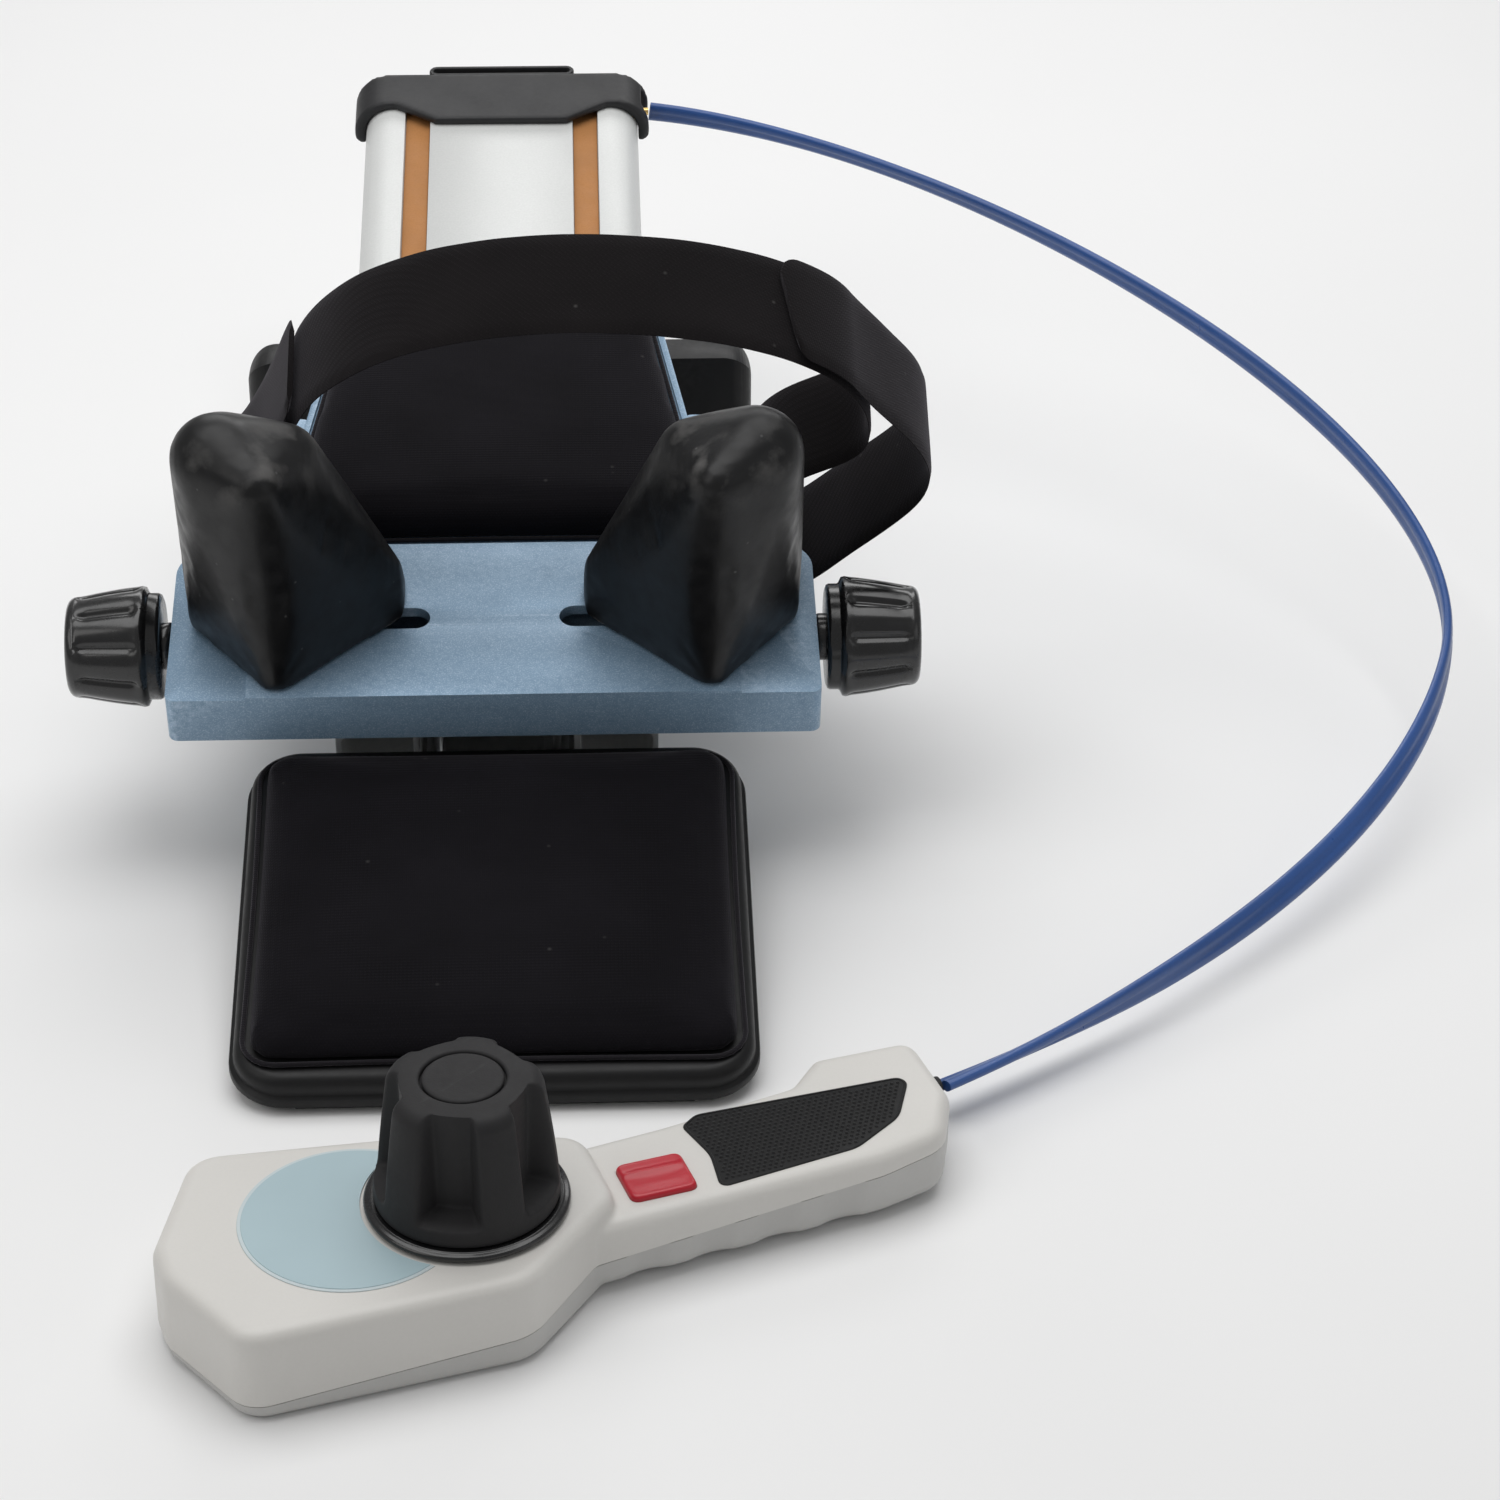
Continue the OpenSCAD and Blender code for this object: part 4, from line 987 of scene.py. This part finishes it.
def label():
    """Plain round film with a thin ring printed round its edge, cut away round the dial."""
    low, high = span("label_disc", HANDSET)
    radius = (high.y - low.y) / 2
    centre = (low.x + radius, (low.y + high.y) / 2)
    for name, reach, top, look in (("label_rim", radius, 0.35, "label_ring"),
                                   ("label_film", radius - 1.3, 0.6, "label_blue")):
        outline = round_outline(centre, reach, 128)
        disc = loft(name, outline, [(0, low.z), (0, low.z + top - 0.15), (0.15, low.z + top)])
        cut(disc, prism("dial_clearance", round_outline((0, 0), 37.3, 128), low.z - 2, low.z + 4))
        shade(disc, 40)
        nodes = ("label_disc",) if name == "label_film" else ()
        place(disc, HANDSET, "handset", "label_blue", *nodes, look=look)


def grip_inlay():
    """Rubber inlay with a raised rim and a field of small domes."""
    low, high = span("grip_inlay", HANDSET)
    outline = resampled(section("grip_inlay", HANDSET, (low.z + high.z) / 2), 1.2)
    base = loft("grip_inlay_pad", outline, [(0, low.z), (0, low.z + 0.35), (0.3, low.z + 0.6),
                                            (0.9, low.z + 0.6), (1.1, low.z + 0.35)])
    verts, faces = [], []
    pitch, radius, rise = 2.3, 0.8, 0.5
    field = inset(outline, 2.0)
    rows = int((high.y - low.y) / (pitch * 0.866)) + 1
    columns = int((high.x - low.x) / pitch) + 2
    for row in range(rows):
        for column in range(columns):
            x = low.x + (column + 0.5 * (row % 2)) * pitch
            y = low.y + row * pitch * 0.866
            if not inside(field, x, y):
                continue
            first = len(verts)
            for level, share in ((0.0, 1.0), (0.7, 0.72)):
                for t in turns(6):
                    verts.append((x + radius * share * math.cos(t), y + radius * share * math.sin(t),
                                  low.z + 0.3 + rise * level))
            verts.append((x, y, low.z + 0.3 + rise))
            for k in range(6):
                a, b = first + k, first + (k + 1) % 6
                faces.append((a, b, b + 6, a + 6))
                faces.append((a + 6, b + 6, first + 12))
    dots = mesh_object("dots", verts, faces)
    joined(base, dots)
    shade(base, 50, weighted=False)
    place(base, HANDSET, "handset", "inlay_black", "grip_inlay")


def inside(outline, x, y):
    """Whether a point is inside a closed outline."""
    a, b = outline, np.roll(outline, -1, axis=0)
    crosses = (a[:, 1] > y) != (b[:, 1] > y)
    rise = np.where(b[:, 1] == a[:, 1], 1e-9, b[:, 1] - a[:, 1])
    reach = (b[:, 0] - a[:, 0]) * (y - a[:, 1]) / rise + a[:, 0]
    return bool(np.sum(crosses & (x < reach)) % 2)


def release_button():
    """Red button: a dished thumb face beside one low ridge."""
    low, high = span("release_button", HANDSET)
    centre = button_centre()
    width, depth = high.x - low.x, high.y - low.y
    outline = resampled(rounded_box(width, depth, 2.9, centre), 0.8)
    profile = [(0, low.z), (0, high.z - 2.4)] + quarter(1.6, high.z - 0.8, 5)
    button = loft("release_button_cap", outline, profile)
    remeshed(button, 0.55, 2)
    for v in button.data.vertices:
        x = (v.co.x / MM - centre[0]) / (width / 2)
        y = (v.co.y / MM - centre[1]) / (depth / 2)
        top = max(0.0, min(1.0, (v.co.z / MM - (high.z - 3)) / 2))
        ridge = math.exp(-((y - 0.28) / 0.16) ** 2) * 0.7 * (1 - abs(x) ** 6)
        dish = -0.5 * math.exp(-((y + 0.3) / 0.4) ** 2) * (1 - x * x)
        v.co.z += (ridge + dish) * top * MM
    shade(button, 60, weighted=False)
    place(button, HANDSET, "release_valve", "button_red", "release_button")


def control_knob():
    """Tapered knob with five deep pockets that end on ledges, a rounded crown and a ring groove."""
    low, high = span("control_knob", HANDSET)
    wide = (high.x - low.x) / 2
    narrow = wide - 5
    first_pocket = math.radians(26)
    pockets, segments = 5, 300
    foot, crown_round, dish_rise = low.z + 1.8, 5.5, 0.6
    profile = [(low.z, wide - 1.4), (low.z + 0.7, wide - 0.3), (foot, wide)]
    for i in range(1, 41):
        t = i / 40
        height = foot + (high.z - crown_round - foot) * t
        profile.append((height, wide + (narrow - wide) * t ** 1.25))
    crown = quarter(crown_round, high.z - dish_rise, 7)[1:]
    profile += [(height, narrow - distance) for distance, height in crown]
    skins = []
    for height, radius in profile:
        rise = (height - low.z) / (high.z - low.z)
        ledge = 1 / (1 + math.exp(-(height - (low.z + 8.2)) * 3.2))
        floor = 21.2 + 1.2 * rise
        ring = []
        for t in turns(segments):
            phase = ((t - first_pocket) * pockets / (2 * math.pi) + 0.5) % 1 - 0.5
            edge = 1 / (1 + math.exp((abs(phase) - 0.262) * 80))
            depth = max(0.0, radius - floor) * ledge * edge
            lobe = 0.5 * math.cos(2 * math.pi * phase) * rise
            reach = radius - depth - lobe
            ring.append((reach * math.cos(t), reach * math.sin(t), height))
        skins.append(ring)
    top = profile[-1][0]
    dish = [(19, 0.5), (16.2, dish_rise), (15.3, 0.45), (14.9, -0.4), (14.9, -1.6), (0.5, -1.6)]
    for radius, rise in dish:
        skins.append([(x, y, top + rise) for x, y in round_outline((0, 0), radius, segments)])
    knob = mesh_object("control_knob_grip", *stacked(skins))
    shade(knob, 60)
    place(knob, HANDSET, "dial", "knob_rubber", "control_knob")
    button = [(0.2, -1.5), (13.6, -1.5), (14.2, -0.9), (14.2, -0.1), (13.7, 0.45), (12.6, 0.6), (10, 0.35),
              (0.2, 0.1)]
    cap = lathe("control_knob_cap", [(radius, top + rise) for radius, rise in button])
    shade(cap, 45)
    place(cap, HANDSET, "dial", "knob_rubber", "knob_cap")


def knob_skirt():
    """Glossy ring under the knob, with a step and a rolled outer edge."""
    low, high = span("knob_skirt", HANDSET)
    radius, bore = (high.x - low.x) / 2, 8.6
    rim = [(1.2, 0), (0.3, 0.5), (0, 1.2), (0.25, 1.9), (0.9, 2.4), (1.8, 2.5)]
    profile = [(bore, low.z)] + [(radius - distance, low.z + rise) for distance, rise in rim]
    profile += [(radius - 2.3, high.z - 0.3), (radius - 2.8, high.z), (bore, high.z), (bore, low.z)]
    ring = lathe("knob_skirt_ring", profile, 128)
    shade(ring, 45)
    place(ring, HANDSET, "dial", "gloss_black", "knob_skirt")


# ---- hose


# Start of the collar at the handset's tip, in its own frame, and how far out the hose starts
HOSE_MOUTH = Vector((186, 34, 14))
HOSE_STAND_OFF = Vector((8, 0, 0))
# Lean of the hose's flat side in degrees, set at shares of its length
HOSE_TWIST = [(0, 68), (0.1, 50), (0.2, 68), (0.3, 88), (0.47, 92), (0.55, 70), (0.65, 55), (0.75, 45),
              (0.85, 68), (0.92, 105), (1, 160)]


def hose_path():
    """Centre line from the end cap's outlet round to the handset's tip, in row-frame millimetres."""
    swivel = middle("hose_swivel")
    pin = JOINTS["handset_swing"]["pos_m"]
    start = np.array([pin[0] / MM + 14.5, pin[1] / MM, swivel.z / MM])
    bend = np.array([402, 237, 46])
    tip = HANDSET @ ((HOSE_MOUTH + HOSE_STAND_OFF) * MM) / MM
    finish = np.array([tip.x, tip.y, HOSE_MOUTH.z])
    first = [start, start + (153, 0, -18), bend + (39, 141, 32), bend]
    second = [bend, bend - (20.0, 72.3, 16.4), finish + (140, 86, 0), finish]
    return bezier_chain([first, second], 90)


def hose():
    """Flat twin-channel hose that twists along its way, and the collar at the handset."""
    path = hose_path()
    n = len(path)
    half_w, half_t = 5.4, 2.3
    window = 17
    turned = np.pad(np.interp(np.linspace(0, 1, n), *zip(*HOSE_TWIST)), window // 2, mode="edge")
    twist = np.radians(np.convolve(turned, np.ones(window) / window, "valid"))
    rings = []
    for i in range(n):
        d = path[min(i + 1, n - 1)] - path[max(i - 1, 0)]
        d = d / np.linalg.norm(d)
        side = np.cross(d, (0, 0, 1.0))
        side = side / np.linalg.norm(side)
        up = np.cross(side, d)
        lean = twist[i]
        ring = []
        for t in turns(28):
            u, w = math.cos(t), math.sin(t)
            flat = math.copysign(abs(u) ** 0.8, u)
            groove = 1 - 0.34 * math.exp(-(flat / 0.16) ** 2)
            a, b = half_w * flat, half_t * math.copysign(abs(w) ** 0.75, w) * groove
            p = path[i] + side * (a * math.cos(lean) - b * math.sin(lean))
            ring.append(p + up * (a * math.sin(lean) + b * math.cos(lean)))
        rings.append(ring)
    tube = mesh_object("flat_hose", *stacked(rings))
    shade(tube, 60, weighted=False)
    place(tube, Matrix.Identity(4), "handset", "hose_blue", "air_hose")
    sleeve = HANDSET @ Matrix.Translation(HOSE_MOUTH * MM) @ Matrix.Rotation(math.pi / 2, 4, "Y")
    collar = lathe("hose_collar", [(0.2, -4), (4.6, -4), (4.9, -3), (4.9, 3.4), (4.4, 4.4), (3.9, 4.7),
                                   (3.9, 6.4), (3.4, 6.8), (0.2, 6.8)], 48)
    shade(collar, 45)
    place(collar, sleeve, "handset", "seal_rubber")


# ---- CAD nodes that stay

BEVELS = {
    "head_carriage": 1.0, "track_extrusion": 0.4, "glide_strips": 0.25, "stand_leg": 1.6,
    "stand_feet": 0.8, "front_foot": 0.6, "carriage_keeper": 0.5, "carriage_cover": 0.5,
    "stand_bracket": 0.4, "joining_bracket": 0.4, "drive_lug": 0.4, "cylinder_saddles": 0.4,
    "valve_body": 0.3, "slide_shoes": 0.2,
}


def finish_cad_nodes():
    """Eases the edges of the parts that keep their CAD shape and gives them their materials."""
    slots = {s["node"]: s["material_slot"] for s in frame["record"]["subparts"]}
    for name, obj in NODES.items():
        if obj.hide_render:
            continue
        obj.data.materials.clear()
        obj.data.materials.append(LOOKS[slots[name]])
        shade(obj, 40, weighted=False)
        modifier(obj, "WELD", merge_threshold=0.00001)
        if name in BEVELS:
            modifier(obj, "BEVEL", width=BEVELS[name] * MM, segments=3, limit_method="ANGLE",
                     angle_limit=math.radians(40), harden_normals=True, miter_outer="MITER_ARC")
        else:
            modifier(obj, "WEIGHTED_NORMAL", keep_sharp=True)


# ---- studio


def floor():
    """A large pale sheet that curves up behind the object."""
    low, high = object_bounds()
    centre = (low + high) / 2
    half_w, front, back, radius = 6.0, centre.y - 4.0, centre.y + 4.5, 1.5
    profile = [(front, 0.0), (back, 0.0)]
    profile += [(back + radius * math.sin(t), radius - radius * math.cos(t))
                for t in [math.pi / 2 * i / 16 for i in range(1, 17)]]
    profile.append((back + radius, 6.0))
    verts = [(x, y, z) for y, z in profile for x in (-half_w, half_w)]
    faces = [(2 * i, 2 * i + 1, 2 * i + 3, 2 * i + 2) for i in range(len(profile) - 1)]
    mesh = bpy.data.meshes.new("floor")
    mesh.from_pydata(verts, [], faces)
    obj = added("floor", mesh)
    look = Look("floor_paper", (0.86, 0.86, 0.86), 0.85, specular=0.1)
    look.vary(400, 0.01)
    look.bump(look.noise(2.0, 2), 0.01)
    look.done()
    obj.data.materials.append(LOOKS["floor_paper"])
    obj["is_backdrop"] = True


def lamp(name, position, target, size, power, colour=(1, 1, 1)):
    data = bpy.data.lights.new(name, "AREA")
    data.shape = "RECTANGLE"
    data.size, data.size_y = size
    data.energy = power
    data.color = colour
    obj = added(name, data)
    obj.location = position
    obj.rotation_mode = "QUATERNION"
    obj.rotation_quaternion = (Vector(target) - Vector(position)).to_track_quat("-Z", "Y")


def lights():
    """Soft box overhead, a key from the left, a dim fill from the right and a strip behind."""
    target = (0.05, 0.15, 0.08)
    lamp("overhead", (0.0, 0.35, 1.7), target, (1.8, 1.4), 20)
    lamp("key", (-1.3, -0.5, 1.3), target, (1.0, 1.0), 5, (1.0, 0.985, 0.965))
    lamp("fill", (1.5, -0.8, 0.9), target, (0.9, 0.9), 1.2, (0.97, 0.985, 1.0))
    lamp("back", (0.2, 1.7, 1.0), target, (1.6, 0.5), 7)
    world = bpy.data.worlds.new("studio")
    world.use_nodes = True
    background = world.node_tree.nodes["Background"]
    background.inputs["Color"].default_value = (1, 1, 1, 1)
    background.inputs["Strength"].default_value = 0.32
    bpy.context.scene.world = world


def camera():
    """Stands in front of the pad and looks along the track, about 32 degrees below level."""
    eye = (0.037, -1.1987, 0.8862)
    pitch, yaw, roll = math.radians(31.55), math.radians(2.75), math.radians(0.53)
    forward = Vector((math.sin(yaw) * math.cos(pitch), math.cos(yaw) * math.cos(pitch), -math.sin(pitch)))
    right = Vector((math.cos(yaw), -math.sin(yaw), 0))
    up = right.cross(forward)
    across = right * math.cos(roll) + up * math.sin(roll)
    upward = up * math.cos(roll) - right * math.sin(roll)
    data = bpy.data.cameras.new("camera")
    data.sensor_width, data.lens = 36, 94.6
    data.clip_start, data.clip_end = 0.05, 50
    obj = added("camera", data)
    turn = Matrix((across, upward, -forward)).transposed().to_4x4()
    obj.matrix_world = Matrix.Translation(eye) @ turn
    bpy.context.scene.camera = obj


# ---- build

shoulder_plate()
cushion("shoulder_pad_cover", "shoulder_cushion", "frame", crown=1.8)
cushion("head_pad_cover", "head_cushion", "carriage", crown=2.2)
wedges()
side_knobs()
strap()
end_cap()
carry_handle()
upper_shell()
lower_shell()
label()
grip_inlay()
release_button()
control_knob()
knob_skirt()
hose()
finish_cad_nodes()
floor()
lights()
camera()
bpy.context.scene.view_settings.view_transform = "Standard"
